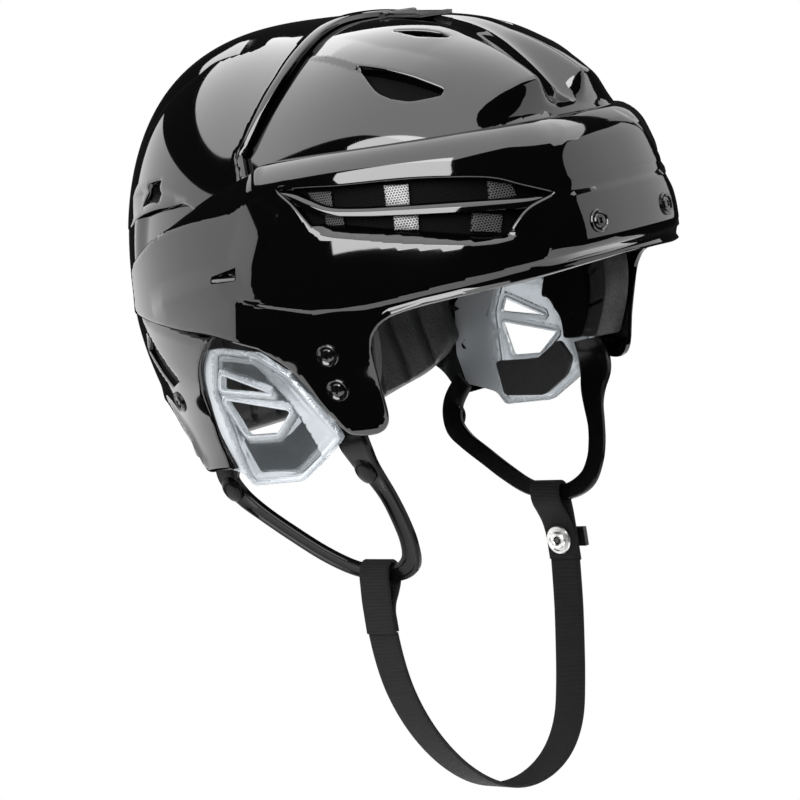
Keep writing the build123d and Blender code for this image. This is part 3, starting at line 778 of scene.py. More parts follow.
# Round holes in a hexagonal pattern: the distance to the nearest middle of two grids, half a cell apart
def meshMaterial(name, base, hole, metallic, roughness):
    made, tree, shader = startMaterial(name, {"Roughness": roughness, "Specular IOR Level": metallic})
    place = flatPlace(tree)
    nearestHole = None
    for shift in ((0.0, 0.0, 0.0), meshHoles["shift"]):
        moved = vectorNode(tree, "ADD", place, shift).outputs[0]
        cell = vectorNode(tree, "DIVIDE", moved, (*meshHoles["pitch"], 1.0)).outputs[0]
        part = vectorNode(tree, "FRACTION", cell).outputs[0]
        middle = vectorNode(tree, "SUBTRACT", part, (0.5, 0.5, 0.0)).outputs[0]
        sized = vectorNode(tree, "MULTIPLY", middle, (*meshHoles["pitch"], 0.0)).outputs[0]
        far = vectorNode(tree, "LENGTH", sized).outputs["Value"]
        nearestHole = far if nearestHole is None else mathNode(tree, "MINIMUM", nearestHole, far)
    rim = ramp(tree, nearestHole, *meshHoles["edge"])
    # The holes are not cut through: their dark colour, without the metal's shine, is painted shade of the
    # space behind them
    tree.links.new(blendColor(tree, rim, hole, base), shader.inputs["Base Color"])
    tree.links.new(mathNode(tree, "MULTIPLY", rim, metallic), shader.inputs["Metallic"])
    bump(tree, shader, rim, 0.0005)
    return made


silverMesh = meshMaterial("silverMesh", gray(0.17), gray(0.02), 0.3, 0.42)
greyMesh = meshMaterial("greyMesh", gray(0.035), gray(0.0005), 0.1, 0.5)
# This near black mesh material also serves as painted shade: it colours the wing pockets' plates and the
# screws' cross recess bars
blackMesh = meshMaterial("blackMesh", gray(0.001), gray(0.0001), 0.03, 0.6)

# Front band: brow, ridge, gills, temple flaps and the long side wings
creaseHeights = np.array([
    [0, 42], [12.5, 42.2], [25, 40], [38, 36.8], [52, 33.6], [63, 34.3], [74, 39], [84, 45],
], float)
ledgeTops = np.array([[24.9, 53.5], [29.6, 56], [42.8, 62.9], [55.3, 68.6], [60.4, 69.2]], float)
ledgeLows = np.array([[24.9, 51.4], [29.6, 51.6], [43.3, 56.8], [52, 61.4], [58, 64.3], [60.4, 66]], float)
wingTops = np.array([[77, 94.3], [80, 92.7], [92.5, 86.2], [103, 78.5], [113.2, 70.6], [124, 61]], float)
chamferLows = np.array([[77, 84], [81.6, 79.2], [95.3, 76.7], [107.8, 73.6], [112.8, 70.3]], float)
lowEdge = np.array([
    [0, 35.6], [10.7, 35], [23.4, 33.2], [32.6, 32], [41, 30.4], [47.4, 27.8], [50.6, 23],
], float)
ridgeTop = 97.6


# Zero up to low, one from high on, and a smooth step between them
def smooth(value, low, high):
    t = np.clip((value - low) / (high - low), 0, 1)
    return t * t * (3 - 2 * t)


# Height of the front band's face over its base
def bandLift(around, z):
    wide = np.abs(around)
    lift = np.zeros(len(z))
    # the ridge is a round shoulder from the wall to the crown
    t = np.clip((z - 87.0) / 11.5, 0, 1)
    shoulder = 8.5 * (1 - np.sqrt(1 - np.minimum(t, 0.93) ** 2))
    lift -= shoulder * (1 - smooth(wide, 73, 79))
    # the temple flap leans in towards its lower end
    lift -= 3.2 * smooth(28 - z, 0, 32)
    # brow: the middle stands forward, most at its lower edge
    brow = 1 - smooth(wide, 12, 21)
    lift += brow * 3.4 * smooth(z, 37, 43) * (1 - 0.5 * smooth(z, 84, 98))
    lift += brow * 1.5 * smooth(70 - z, 0, 20) * smooth(z, 37, 43)
    # lower crease and the lip under it
    crease = np.interp(wide, creaseHeights[:, 0], creaseHeights[:, 1])
    under = np.clip((crease - z) / 0.9, 0, 1) * (1 - smooth(wide, 76, 84))
    lift -= 1.1 * under
    lip = 1 - smooth(wide, 40, 50)
    lift -= lip * 0.26 * np.clip(crease - 1.0 - z, 0, 8)
    # rolled bead along the lower edge
    edge = np.interp(wide, lowEdge[:, 0], lowEdge[:, 1])
    lift += 1.7 * np.exp(-(((z - edge - 1.3) / 1.15) ** 2)) * (1 - smooth(wide, 47, 50))
    # ledge under the gills
    low = np.interp(wide, ledgeLows[:, 0], ledgeLows[:, 1])
    high = np.interp(wide, ledgeTops[:, 0], ledgeTops[:, 1])
    near = (wide > 22) & (wide < 62) & (z < high + 2)
    slope = np.clip((z - low) / np.maximum(high - low, 0.5), 0, 1)
    fade = smooth(wide, 21, 29) * (1 - smooth(wide, 55, 61.5))
    lift -= np.where(near, 4.8 * slope * fade, 0)
    # chamfer over the wing
    top = np.interp(wide, wingTops[:, 0], wingTops[:, 1])
    line = np.interp(wide, chamferLows[:, 0], chamferLows[:, 1])
    strip = np.clip((z - line) / np.maximum(top - line, 0.8), 0, 1.05)
    lift -= 2.6 * strip * smooth(wide, 75, 79) * (1 - smooth(wide, 112, 116))
    return lift


def mirrored(features):
    both = []
    for part in features:
        both.append(part)
        other = dict(part)
        if "loop" in part:
            other["loop"] = flip(part["loop"])
        if "line" in part:
            other["line"] = (part["line"] * np.array([-1.0, 1.0]))[::-1]
        both.append(other)
    return both


bandHalf = [
    [(0, ridgeTop), (30, ridgeTop), (60, ridgeTop), (73, 96.8), (77, 94.6)],
    [(77, 94.6), (80, 92.7), (92.5, 86.2), (103, 78.5), (113.2, 70.6), (124, 61)],
    [(124, 61), (126.4, 57)],
    [(126.4, 57), (126, 48), (127, 38)],
    [(127, 38), (117.8, 35), (102, 30.5), (91.5, 28), (83.2, 24), (77.8, 20.5)],
    [(77.8, 20.5), (71.8, 10), (64.4, -12), (62.2, -18), (60.2, -20.8), (56.4, -21.9), (53.4, -21.2),
     (51.6, -18.4), (51.0, -13), (51.5, 0), (51.9, 16), (50.6, 23), (47.4, 27.8), (41, 30.4), (32.6, 32),
     (23.4, 33.2), (10.7, 35), (0, 35.6)],
]
bandRight = np.concatenate([run(np.array(part, float) * band["scale"], 1.5)[:-1] for part in bandHalf])
bandOutline = np.concatenate([bandRight, flip(bandRight[1:])])
gillHole = loop(
    band,
    [(68.3, 85.6), (60, 84.8), (54.1, 83.9), (41.4, 82.6), (33.2, 80.6), (25.5, 77.4), (20.6, 72.5),
     (15.8, 67.4)],
    [(15.8, 67.4), (20.5, 63.5), (23.5, 58), (24.9, 53.5)],
    [(24.9, 53.5), (29.6, 56), (42.8, 62.9), (55.3, 68.6), (58.5, 69.4), (60.4, 69.2)],
    [(60.4, 69.2), (64.1, 78.4), (68.3, 85.6)],
)
pocket = [(91.5, 51.9), (81.0, 56.0), (81.0, 50.9)]
bandPlan = {
    "chart": band,
    "base": bandOut,
    "thick": bandWall,
    "gap": 1.8,
    "outline": bandOutline,
    "holes": [gillHole, flip(gillHole)],
    "lift": bandLift,
    "round": 1.0,
    "sharp": 60.0,
    "lines": [],
    "plateaus": mirrored([
        {"rise": -2.2, "ramp": 0.8, "loop": polygon(band, pocket)},
    ]) + [
        {"rise": 0.8, "ramp": 2.4, "loop": polygon(band, [
            (-9.5, 95.4), (9.5, 95.4), (12.5, 88), (16.4, 74), (16.2, 68.8),
            (-16.2, 68.8), (-16.4, 74), (-12.5, 88),
        ])},
        {"rise": 1.1, "ramp": 1.6, "loop": polygon(band, [
            (-13, 66.6), (13, 66.6), (19.8, 49.5), (19.4, 43.6), (-19.4, 43.6), (-19.8, 49.5),
        ])},
    ],
    "folds": mirrored([
        {"rise": 0.9, "left": 16.0, "right": 7.0, "fade": 12.0, "line": run(
            np.array([(71.6, 78), (74, 66), (76.4, 54), (77.5, 44)], float) * band["scale"], 1.5)},
        {"rise": 1.2, "left": 9.0, "right": 9.0, "fade": 14.0, "line": run(
            np.array([(79.5, 50.6), (90, 48.6), (102, 45), (114, 40)], float) * band["scale"], 1.5)},
    ]),
}
bandLines = [creaseHeights, ledgeLows, chamferLows]
bandLines += [lowEdge[:-1] + np.array([0, up]) for up in (1.3, 2.2, 3.1, 4.0)]
bandLines.append(creaseHeights - np.array([0, 0.9]))
for side in (1, -1):
    for table in bandLines:
        bandPlan["lines"].append(run(table * band["scale"], 1.6) * np.array([side, 1.0]))
frontBand = shellSheet("frontBand", bandPlan, glossBlack)
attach(frontBand, "root")
# A matte black plate in each wing pocket is painted shade: it makes the shallow pocket look like a dark
# hollow
pocketShadePlate = shellSheet("wingPocketRight", {
    "chart": band, "base": bandOut - 1.7, "thick": 1.2, "round": 0.2,
    "outline": polygon(band, [(89.6, 52.0), (81.5, 55.1), (81.5, 51.4)], 1.0),
}, blackMesh)
bothSides(pocketShadePlate, "root")
print("front band", len(frontBand.data.polygons))


# Height of the crown cap's face over its base
def capLift(share, angle):
    wide = np.abs(share)
    lift = np.zeros(len(share))
    # two lobes run forward over the front of the crown, with the channel between them
    rise = 9.3 * np.clip((62.5 - angle) / 17.0, 0, 1) ** 1.35
    spread = smooth(0.285 - wide, 0, 0.25)
    front = 46.2 + 8 * np.clip(wide - 0.03, 0, 1)
    ends = smooth(angle, front - 2.6, front + 1.6)
    rim = smooth(wide, 0.012, 0.06)
    lift += rise * spread * ends * rim
    channel = (1 - rim) * smooth(angle, 44, 47) * (1 - smooth(angle, 72, 78))
    lift -= 2.2 * channel
    return lift


# Halves a span of angles at each share until the cap's face meets the height
def capFront(z, share):
    low = np.full(len(share), 5.0)
    high = np.full(len(share), 88.0)
    for _ in range(halvings["cap"]):
        middle = (low + high) / 2
        over = hoodPoint(share, middle, capOut)[:, 2] > z
        high = np.where(over, middle, high)
        low = np.where(over, low, middle)
    return np.stack([share, (low + high) / 2], 1)


capEdge = capFront(87.0, np.linspace(0.6, -0.6, 60))
capOutline = np.concatenate([
    run(capEdge * hood["scale"], 2.0)[:-1],
    run(np.array([(-0.6, capEdge[-1, 1]), (-0.62, 92)]) * hood["scale"], 2.0)[:-1],
    run(np.array([(-0.62, 92), (0.62, 92)]) * hood["scale"], 2.5)[:-1],
    run(np.array([(0.62, 92), (0.6, capEdge[0, 1])]) * hood["scale"], 2.0)[:-1],
])
vent = loop(
    hood,
    [(-0.310, 69.1), (-0.342, 65.2), (-0.355, 62.6), (-0.352, 60.0)],
    [(-0.352, 60.0), (-0.331, 57.3), (-0.300, 55.6), (-0.267, 54.3)],
    [(-0.267, 54.3), (-0.250, 54.6)],
    [(-0.250, 54.6), (-0.272, 58.2), (-0.292, 62.5), (-0.303, 66), (-0.310, 69.1)],
    gap=1.0,
)
smallVent = loop(
    hood,
    [(-0.137, 71.3), (-0.142, 69), (-0.142, 66.6)],
    [(-0.142, 66.6), (-0.118, 64.2), (-0.094, 62.8)],
    [(-0.094, 62.8), (-0.097, 65.6), (-0.137, 71.3)],
    gap=1.0,
)
capPlan = {
    "chart": hood,
    "base": capOut,
    "thick": shellWall,
    "gap": 1.4,
    "outline": capOutline,
    "holes": [vent, flip(vent), smallVent, flip(smallVent)],
    "lift": capLift,
    "round": 0.8,
    "sharp": 65.0,
    "lines": [],
    "folds": mirrored([
        {"rise": 1.5, "left": 15.0, "right": 0.9, "fade": 16.0, "line": run(np.array([
            (-0.27, 83), (-0.285, 78), (-0.302, 73), (-0.310, 69.1), (-0.303, 66), (-0.292, 62.5),
            (-0.272, 58.2), (-0.250, 54.6), (-0.245, 53.8)], float) * hood["scale"], 1.0)},
    ]),
}
for side in (1, -1):
    for share in np.arange(0.006, 0.07, 0.006):
        line = np.stack([np.full(40, side * share), np.linspace(44, 78, 40)], 1)
        capPlan["lines"].append(line * hood["scale"])
    for back in (2.6, 1.6, 0.6, -0.5, -1.6):
        share = np.linspace(0.0, 0.27, 36)
        line = np.stack([side * share, 46.2 + 8 * np.clip(share - 0.03, 0, 1) - back], 1)
        capPlan["lines"].append(line * hood["scale"])
crownCap = shellSheet("crownCap", capPlan, glossBlack)
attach(crownCap, "root")
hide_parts("front_shell")
print("crown cap", len(crownCap.data.polygons))

# Rear dome
ledgeKeys = [(0.70, 97), (0.66, 102), (0.635, 106.6), (0.616, 115.2), (0.568, 124.4), (0.475, 134.9),
             (0.33, 141), (0.16, 144), (0, 145)]
lipKeys = [(0, 86.3), (0.07, 85.6), (0.134, 84.9), (0.25, 83.9), (0.358, 83.8), (0.46, 84.9), (0.528, 86.2),
           (0.549, 87.5)]
domeHalf = [
    lipKeys,
    [(0.549, 87.5), (0.6, 84.6), (0.625, 83.5)],
    [(0.625, 83.5), (0.68, 86), (0.70, 97)],
    ledgeKeys,
]
domeRight = np.concatenate([run(np.array(part, float) * hood["scale"], 1.6)[:-1] for part in domeHalf])
domeOutline = np.concatenate([domeRight, flip(domeRight[1:])])


# Height of the rear dome's face over its base
def rearLift(share, angle):
    lift = np.zeros(len(share))
    wide = np.abs(share)
    # lip bead along the front edge
    line = np.array(lipKeys + [(0.6, 84.6)])
    off = (angle - np.interp(wide, line[:, 0], line[:, 1])) * hood["scale"][1]
    lift += 0.7 * (1 - smooth(off, 2.6, 6.0))
    lift -= 0.9 * (1 - smooth(off, 0.0, 2.6))
    return lift


rearVent = polygon(hood, [(-0.535, 119.4), (-0.558, 114.4), (-0.588, 117.2), (-0.545, 124.4)], gap=1.2)
rearPlan = {
    "chart": hood,
    "base": 0.0,
    "thick": 2.5,
    "gap": 1.9,
    "outline": domeOutline,
    "holes": [rearVent, flip(rearVent)],
    "lift": rearLift,
    "round": 0.7,
    "sharp": 60.0,
    "lines": [run(np.array([(side * s, a + off / 2.6) for s, a in lipKeys[:7]]) * hood["scale"], 1.6)
              for side in (1, -1) for off in (1.3, 2.6, 4.2, 6.0)],
    "folds": mirrored([
        {"rise": -2.0, "left": 1.6, "right": 14.0, "fade": 16.0, "line": run(np.array([
            (-0.215, 95), (-0.232, 99.5), (-0.249, 104.7), (-0.287, 107.6), (-0.312, 111), (-0.345, 116),
            (-0.38, 122)], float) * hood["scale"], 1.6)},
        {"rise": -1.6, "left": 12.0, "right": 1.6, "fade": 14.0, "line": run(np.array([
            (-0.63, 105.5), (-0.603, 112), (-0.548, 119.8), (-0.47, 128.6)], float) * hood["scale"], 1.6)},
    ]),
}
rearDome = shellSheet("rearDome", rearPlan, glossBlack)
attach(rearDome, "rear")
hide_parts("rear_shell")
print("rear dome", len(rearDome.data.polygons))

# Rear band, under the dome's lower edge and under the wings
ledge = onChart(hood, np.array(ledgeKeys, float) * hood["scale"], 0.0)
ledgeAround = np.degrees(np.arctan2(ledge[:, 0], -ledge[:, 1]))
flapEdge = [(100.5, -33.5), (105.9, -34.1), (112, -35.4), (114.6, -33.2), (117.7, -24.8), (120.2, -20.2),
            (123.1, -16), (126.5, -9.7), (130.1, -5.4)]
napeEdge = [(130.1, -5.4), (138, -5), (150, -11), (165, -19), (180, -24)]
rearLowRuns = [
    [(82, 60), (87, 35), (94.4, 25.6), (101.4, 10), (103.4, -15), (100.5, -33.5)],
    flapEdge,
    napeEdge,
]
underDome = [(float(a), float(z) + 1.6) for a, z in zip(ledgeAround, ledge[:, 2])]
rearHighRuns = [
    [(180, underDome[-1][1]), *underDome[-2:2:-1]],
    [underDome[3], (96, 84), (84, 80)],
    [(84, 80), (82, 60)],
]
rearLow = np.concatenate([run(np.array(part, float) * band["scale"], 1.8)[:-1] for part in rearLowRuns])
rearHigh = np.concatenate([run(np.array(part, float) * band["scale"], 1.8)[:-1] for part in rearHighRuns])
middleLine = 360 * band["scale"][0]


def flipRear(flat):
    return np.stack([middleLine - flat[:, 0], flat[:, 1]], 1)[::-1]


endLow = np.array([napeEdge[-1]]) * band["scale"]
rearOutline = np.concatenate([rearLow, endLow, flipRear(rearLow), flipRear(rearHigh)[:-1], rearHigh])
flapVent = polygon(band, [(126.5, 27), (131, 20), (118.5, 4), (113, 7)], gap=1.4)


# Height of the rear band's face over its base
def rearBandLift(around, z):
    high = 180 - np.abs(around - 180)
    # the nape turns out a little at its lower edge
    keys = np.array(flapEdge + napeEdge[1:])
    edge = np.interp(high, keys[:, 0], keys[:, 1])
    # the part under the wing lies deeper, so that the rear shell can slide
    wingLow = np.interp(high, [77.8, 83.2, 91.5, 102, 117.8, 127], [20.5, 24, 28, 30.5, 35, 38])
    sunk = 2.8 * (1 - smooth(high, 123.5, 129.5)) * smooth(z - wingLow, -6, 0)
    return 1.2 * (1 - smooth(z - edge, 0, 8)) - sunk


rearBandPlan = {
    "chart": band,
    "base": -0.4,
    "thick": 2.6,
    "gap": 2.0,
    "outline": rearOutline,
    "holes": [flapVent, flipRear(flapVent)],
    "lift": rearBandLift,
    "round": 0.7,
}
rearBand = shellSheet("rearBand", rearBandPlan, glossBlack)
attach(rearBand, "rear")
print("rear band", len(rearBand.data.polygons))


# A mesh's points in millimetres
def meshPoints(obj):
    points = np.empty(len(obj.data.vertices) * 3)
    obj.data.vertices.foreach_get("co", points)
    return points.reshape(-1, 3) * perMetre


# Stores one value at each point of the mesh under a name
def mark(obj, name, values):
    layer = obj.data.attributes.new(name, "FLOAT", "POINT")
    layer.data.foreach_set("value", np.asarray(values, np.float32))


# Closed outline of straight edges with rounded corners
def rounded(points, radius, gap=0.9):
    points = np.asarray(points, float)
    made = []
    for before, here, after in zip(np.roll(points, 1, 0), points, np.roll(points, -1, 0)):
        back = before - here
        on = after - here
        cut = min(radius, 0.45 * np.linalg.norm(back), 0.45 * np.linalg.norm(on))
        start = here + back / np.linalg.norm(back) * cut
        end = here + on / np.linalg.norm(on) * cut
        t = np.linspace(0, 1, 7)[:, None]
        made.append(start * (1 - t) ** 2 + here * 2 * t * (1 - t) + end * t**2)
    corners = np.concatenate(made)
    filled = []
    for a, b in zip(corners, np.roll(corners, -1, 0)):
        count = max(1, int(np.linalg.norm(b - a) / gap))
        filled.append(a + (b - a) * (np.arange(count) / count)[:, None])
    return np.concatenate(filled)


# Closed skin through rings of the same number of points, with flat ends
def sweep(name, stations, material, sharp=40.0, uv=None):
    rings = np.asarray(stations, float)
    count, sides = rings.shape[:2]
    i, j = np.meshgrid(np.arange(count - 1), np.arange(sides), indexing="ij")
    i, j = i.ravel(), j.ravel()
    k = (j + 1) % sides
    a, b, c, d = i * sides + j, i * sides + k, (i + 1) * sides + k, (i + 1) * sides + j
    walls = np.concatenate([np.stack([a, b, c], 1), np.stack([a, c, d], 1)])
    middles = np.array([rings[0].mean(0), rings[-1].mean(0)])
    ends = []
    base = count * sides
    for end, start in ((0, 0), (1, (count - 1) * sides)):
        j = np.arange(sides)
        k = (j + 1) % sides
        fan = np.stack([np.full(sides, base + end), start + k, start + j], 1)
        ends.append(fan if end == 0 else fan[:, ::-1])
    points = np.concatenate([rings.reshape(-1, 3), middles])
    faces = np.concatenate([walls] + ends)
    corner = points[faces]
    volume = np.sum(np.cross(corner[:, 0], corner[:, 1]) * corner[:, 2])
    if volume < 0:
        faces = faces[:, ::-1]
    if uv is not None:
        uv = np.concatenate([np.asarray(uv, float).reshape(-1, 2), [uv[0][0], uv[-1][0]]])
    return addMesh(name, points, faces, material, sharp, uv)


# Turned form: radii and heights along an axis
def lathe(name, profile, origin, axis, material, sides=48, stretch=1.0):
    axis = np.array(Vector(axis).normalized())
    across = np.cross(axis, [0.0, 1.0, 0.0])
    across /= np.linalg.norm(across)
    other = np.cross(axis, across)
    turn = np.linspace(0, 2 * math.pi, sides, endpoint=False)
    rings = []
    for radius, height in profile:
        ring = np.outer(np.cos(turn), across) * radius + np.outer(np.sin(turn), other) * radius * stretch
        rings.append(ring + np.array(origin) + axis * height)
    return sweep(name, rings, material, 30.0)


# Gill blades and the mesh behind them
blade = {
    "around": (67.6, 64, 60.5, 56, 50, 42.2, 32.2, 21.2, 18, 15.6),
    "top": (85.2, 84.0, 80.6, 76.4, 74.4, 72.8, 70.8, 68.2, 68.0, 67.4),
    "bottom": (84.4, 79.4, 75.4, 72.4, 70.4, 68.4, 65.9, 63.2, 64.0, 66.0),
    "face": 3.3,
    "root": -3.6,
}


# Rings of one outline carried round the band: heights as shares of the blade, depths from its face and root
def bladeRings():
    keys = np.array([blade["around"], blade["top"], blade["bottom"]]).T
    stretch = np.array([2.1, 1, 1])
    path = run(keys * stretch, 1.6) / stretch
    face, root = blade["face"], blade["root"]
    rings = []
    for around, top, bottom in path:
        tall = top - bottom
        outline = [
            (bottom + 0.04 * tall, face - 1.4), (bottom, face - 0.4), (bottom + 0.08 * tall, face),
            (bottom + 0.35 * tall, face + 0.1), (bottom + 0.65 * tall, face - 0.3),
            (top - 0.12 * tall, face - 1.2), (top, face - 2.2),
            (top - 0.1 * tall, root), (top - 0.45 * tall, root - 0.4),
        ]
        spots = [bandPoint(np.array([around]), np.array([z]), depth) for z, depth in outline]
        rings.append(np.concatenate(spots))
    return rings


bothSides(sweep("gillBladeRight", bladeRings(), glossBlack, 38.0), "root")


# A thin sheet over the band, a step away from the dome
def flatSheet(name, outline, step, thick, material, edge=0.2):
    plan = {
        "chart": band, "base": step, "thick": thick, "gap": 2.4, "innerGap": 5.0,
        "outline": outline, "round": edge,
    }
    return shellSheet(name, plan, material)


# The mesh's pattern lies in millimetres round the band, and up
def flatUv(obj):
    points = meshPoints(obj)
    around = np.degrees(np.arctan2(-points[:, 0], -points[:, 1]))
    place = np.stack([around * band["scale"][0], points[:, 2]], 1)
    index = np.empty(len(obj.data.loops), int)
    obj.data.loops.foreach_get("vertex_index", index)
    layer = obj.data.uv_layers.new(name="flat")
    layer.data.foreach_set("uv", place[index].ravel())


gillField = [(65, 85), (54, 85.5), (33, 83), (22, 77), (15, 69), (21, 55), (27, 51), (44, 60), (60, 66)]
gillMeshRight = flatSheet("gillMeshRight", polygon(band, gillField, 2.0), -1.6, 1.0, blackMesh)
flatUv(gillMeshRight)
bothSides(gillMeshRight, "root", "vent_mesh")
silverBlocks = {
    "Upper": [(44.4, 81.4), (39.7, 80.4), (40.2, 71.8), (44.6, 73.2)],
    "Lower": [(43.6, 69.2), (39.0, 67.8), (39.4, 61.4), (43.8, 62.8)],
}
for name, corners in silverBlocks.items():
    block = flatSheet("silverMesh" + name + "Right", polygon(band, corners, 1.2), 0.4, 1.6, silverMesh, 0.4)
    flatUv(block)
    bothSides(block, "root")
patches = {
    "Rear": [(61, 83), (55.5, 82), (55.5, 76), (59, 76)],
    "RearLow": [(57.5, 73), (53.5, 72.5), (53.5, 67.5), (57.5, 68.5)],
    "Front": [(25.5, 76.5), (21.5, 73.5), (21.2, 68.6), (26.2, 68)],
    "FrontLow": [(29.5, 65), (24.5, 62), (25.5, 55), (30.5, 57.5)],
}
for name, corners in patches.items():
    patch = flatSheet("perforated" + name + "Right", polygon(band, corners, 1.2), 0.2, 1.6, greyMesh, 0.4)
    flatUv(patch)
    bothSides(patch, "root")
flapField = [(128.5, 29), (133.5, 20), (119, 1.5), (111, 5.5)]
flapMeshRight = flatSheet("flapMeshRight", polygon(band, flapField, 2.0), -3.4, 1.0, greyMesh)
flatUv(flapMeshRight)
bothSides(flapMeshRight, "rear", "flap_mesh")
print("gills")

# Ear guards
guardFace = 97.07


# A flat plate that leans with height and turns in towards the back by the square of the way past y 19
def guardPoint(y, z, step):
    bend = 0.012 * np.maximum(y - 19, 0) ** 2
    return np.stack([-guardFace - 0.036 * y - 0.178 * z + bend - step, y, z], -1)


guardChart = {"scale": np.array([1.0, 1.0]), "point": guardPoint}
guardCorners = [(30, 20.5), (7.3, 20.9), (-13.2, 17.7), (-26.5, 8.4), (-44, 9.3), (-57, 6.2), (-57, -5.4),
                (-43.5, -14), (-46.5, -22), (-33.4, -31.4), (-17.8, -40.7), (11.5, -42), (17, -36), (34, -31),
                (38.5, -16), (38.5, 8)]
guardBody = [(18.6, 2), (11.6, 19.8), (7.3, 20.9), (-13.2, 17.7), (-26.5, 8.4), (-46.5, -22), (-33.4, -31.4),
             (-17.8, -40.7), (11.5, -42), (14.2, -35.7)]
guardOutline = rounded(guardCorners, 2.0)
guardRing = rounded(guardBody, 3.0, 0.7)
upperWindow = rounded([(10.3, 9.0), (-15.4, -1.0), (12.8, 2.4)], 1.6, 0.7)
lowerWindow = rounded([(12.7, -2.3), (-22.6, -8.9), (-11.4, -18.6), (6.2, -18.9)], 1.8, 0.7)
wedgeLine = run([(-9.5, 14.5), (-15, 7.5), (-25.5, -6.5), (-30.5, -18.5), (-34.2, -29)], 0.9)


# Heights over the plate, and how milky each spot is
def guardFields(flat):
    edge = nearest(flat, guardRing, True)[0]
    window = np.minimum(nearest(flat, upperWindow, True)[0], nearest(flat, lowerWindow, True)[0])
    wedge, side, _ = nearest(flat, wedgeLine, False)
    body = inside(flat, guardRing)
    rim = 1 - np.where(body, smooth(edge, 1.2, 2.6), smooth(edge, 0, 0.9))
    second = np.where(body, smooth(edge, 3.0, 3.8) * (1 - smooth(edge, 4.2, 5.2)), 0)
    frameLift = 1 - smooth(window, 1.9, 3.1)
    bead = smooth(window, 0.0, 0.5) * (1 - smooth(window, 0.7, 1.3))
    front = (side < 0) & body
    slope = np.where(front, np.clip(1 - wedge / 11.0, 0, 1), np.clip(1 - wedge / 1.3, 0, 1))
    lift = 1.1 * rim + 0.5 * second + 1.2 * frameLift + 0.4 * bead + 1.7 * slope
    pale = np.where(front, 0.18 + 0.5 * smooth(-flat[:, 1], -8, 16), 0.0)
    wrap = np.where(body, 0, 0.95 * smooth(flat[:, 0], 0, 6))
    milk = np.maximum.reduce([0.4 * rim, 0.25 * second, 0.35 * frameLift, 0.8 * bead, pale, wrap])
    return lift, np.clip(milk, 0, 1)


# Lines inside the plate's rim and round its two windows
def guardLines():
    lines = [wedgeLine, np.concatenate([guardRing, guardRing[:1]])] + inset(guardRing, 0.9, True)
    for step in (1.2, 1.9, 2.6, 3.4, 4.2, 5.2):
        lines += inset(guardRing, step)
    for ring in (upperWindow, lowerWindow):
        for step in (0.5, 1.3, 1.9, 3.1):
            lines += inset(ring, step, True)
    return lines


guardPlan = {
    "chart": guardChart, "base": 0.0, "thick": 1.9, "gap": 1.0, "outline": guardOutline,
    "holes": [upperWindow, lowerWindow], "round": 0.4, "lines": guardLines(), "middle": insideGuards,
    "lift": lambda y, z: guardFields(np.stack([y, z], 1))[0], "sharp": 60.0,
}


def milkyMaterial():
    made, tree, shader = startMaterial("clearGuard", {"IOR": 1.45})
    place = objectPlace(tree)
    milk = node(tree, "ShaderNodeAttribute", attribute_name="milk").outputs["Fac"]
    haze = noise(tree, place, 45.0, 5.0)
    cloud = mathNode(tree, "MULTIPLY_ADD", haze.outputs[0], 0.12, milk)
    tree.links.new(ramp(tree, cloud, 0.05, 1.0, 0.98, 0.3), shader.inputs["Transmission Weight"])
    tree.links.new(ramp(tree, cloud, 0.05, 1.0, 0.1, 0.3), shader.inputs["Roughness"])
    color = blendColor(tree, cloud, (0.52, 0.56, 0.59, 1), (0.4, 0.42, 0.44, 1))
    tree.links.new(color, shader.inputs["Base Color"])
    bump(tree, shader, placeGroup(tree, grainGroup, place, {"Scale": 60.0, "Detail": 3.0})["Height"], 0.0003)
    return made


clearGuard = milkyMaterial()
earGuardRight = shellSheet("earGuardRight", guardPlan, clearGuard)
mark(earGuardRight, "milk", guardFields(meshPoints(earGuardRight)[:, 1:])[1])
bothSides(earGuardRight, "root", "ear_guard")


# A soft-edged pad: a sheet with a wide rounded rim and lines that hold the curve of the rim
def pillow(name, chart, outline, base, thick, radius, material, **more):
    plan = {
        "chart": chart, "base": base, "thick": thick, "gap": 2.4, "innerGap": 6.0,
        "outline": outline, "round": radius,
    }
    plan.update(more)
    rings = plan["lines"] = list(plan.get("lines", []))
    for share in (0.12, 0.55):
        rings += inset(outline, share * radius)
    return shellSheet(name, plan, material)


earPadOutline = rounded([
    (13.4, -20.6), (-13.5, -20.4), (-27, -12), (-34.5, -21), (-31, -29), (-17.0, -37.6), (8.2, -37.0),
], 2.5)
earPadRight = pillow("earPadRight", guardChart, earPadOutline, -2.9, 3.6, 1.4, darkFelt, middle=insideGuards)
bothSides(earPadRight, "root", "ear_pad")
print("ear guards", len(earGuardRight.data.polygons))

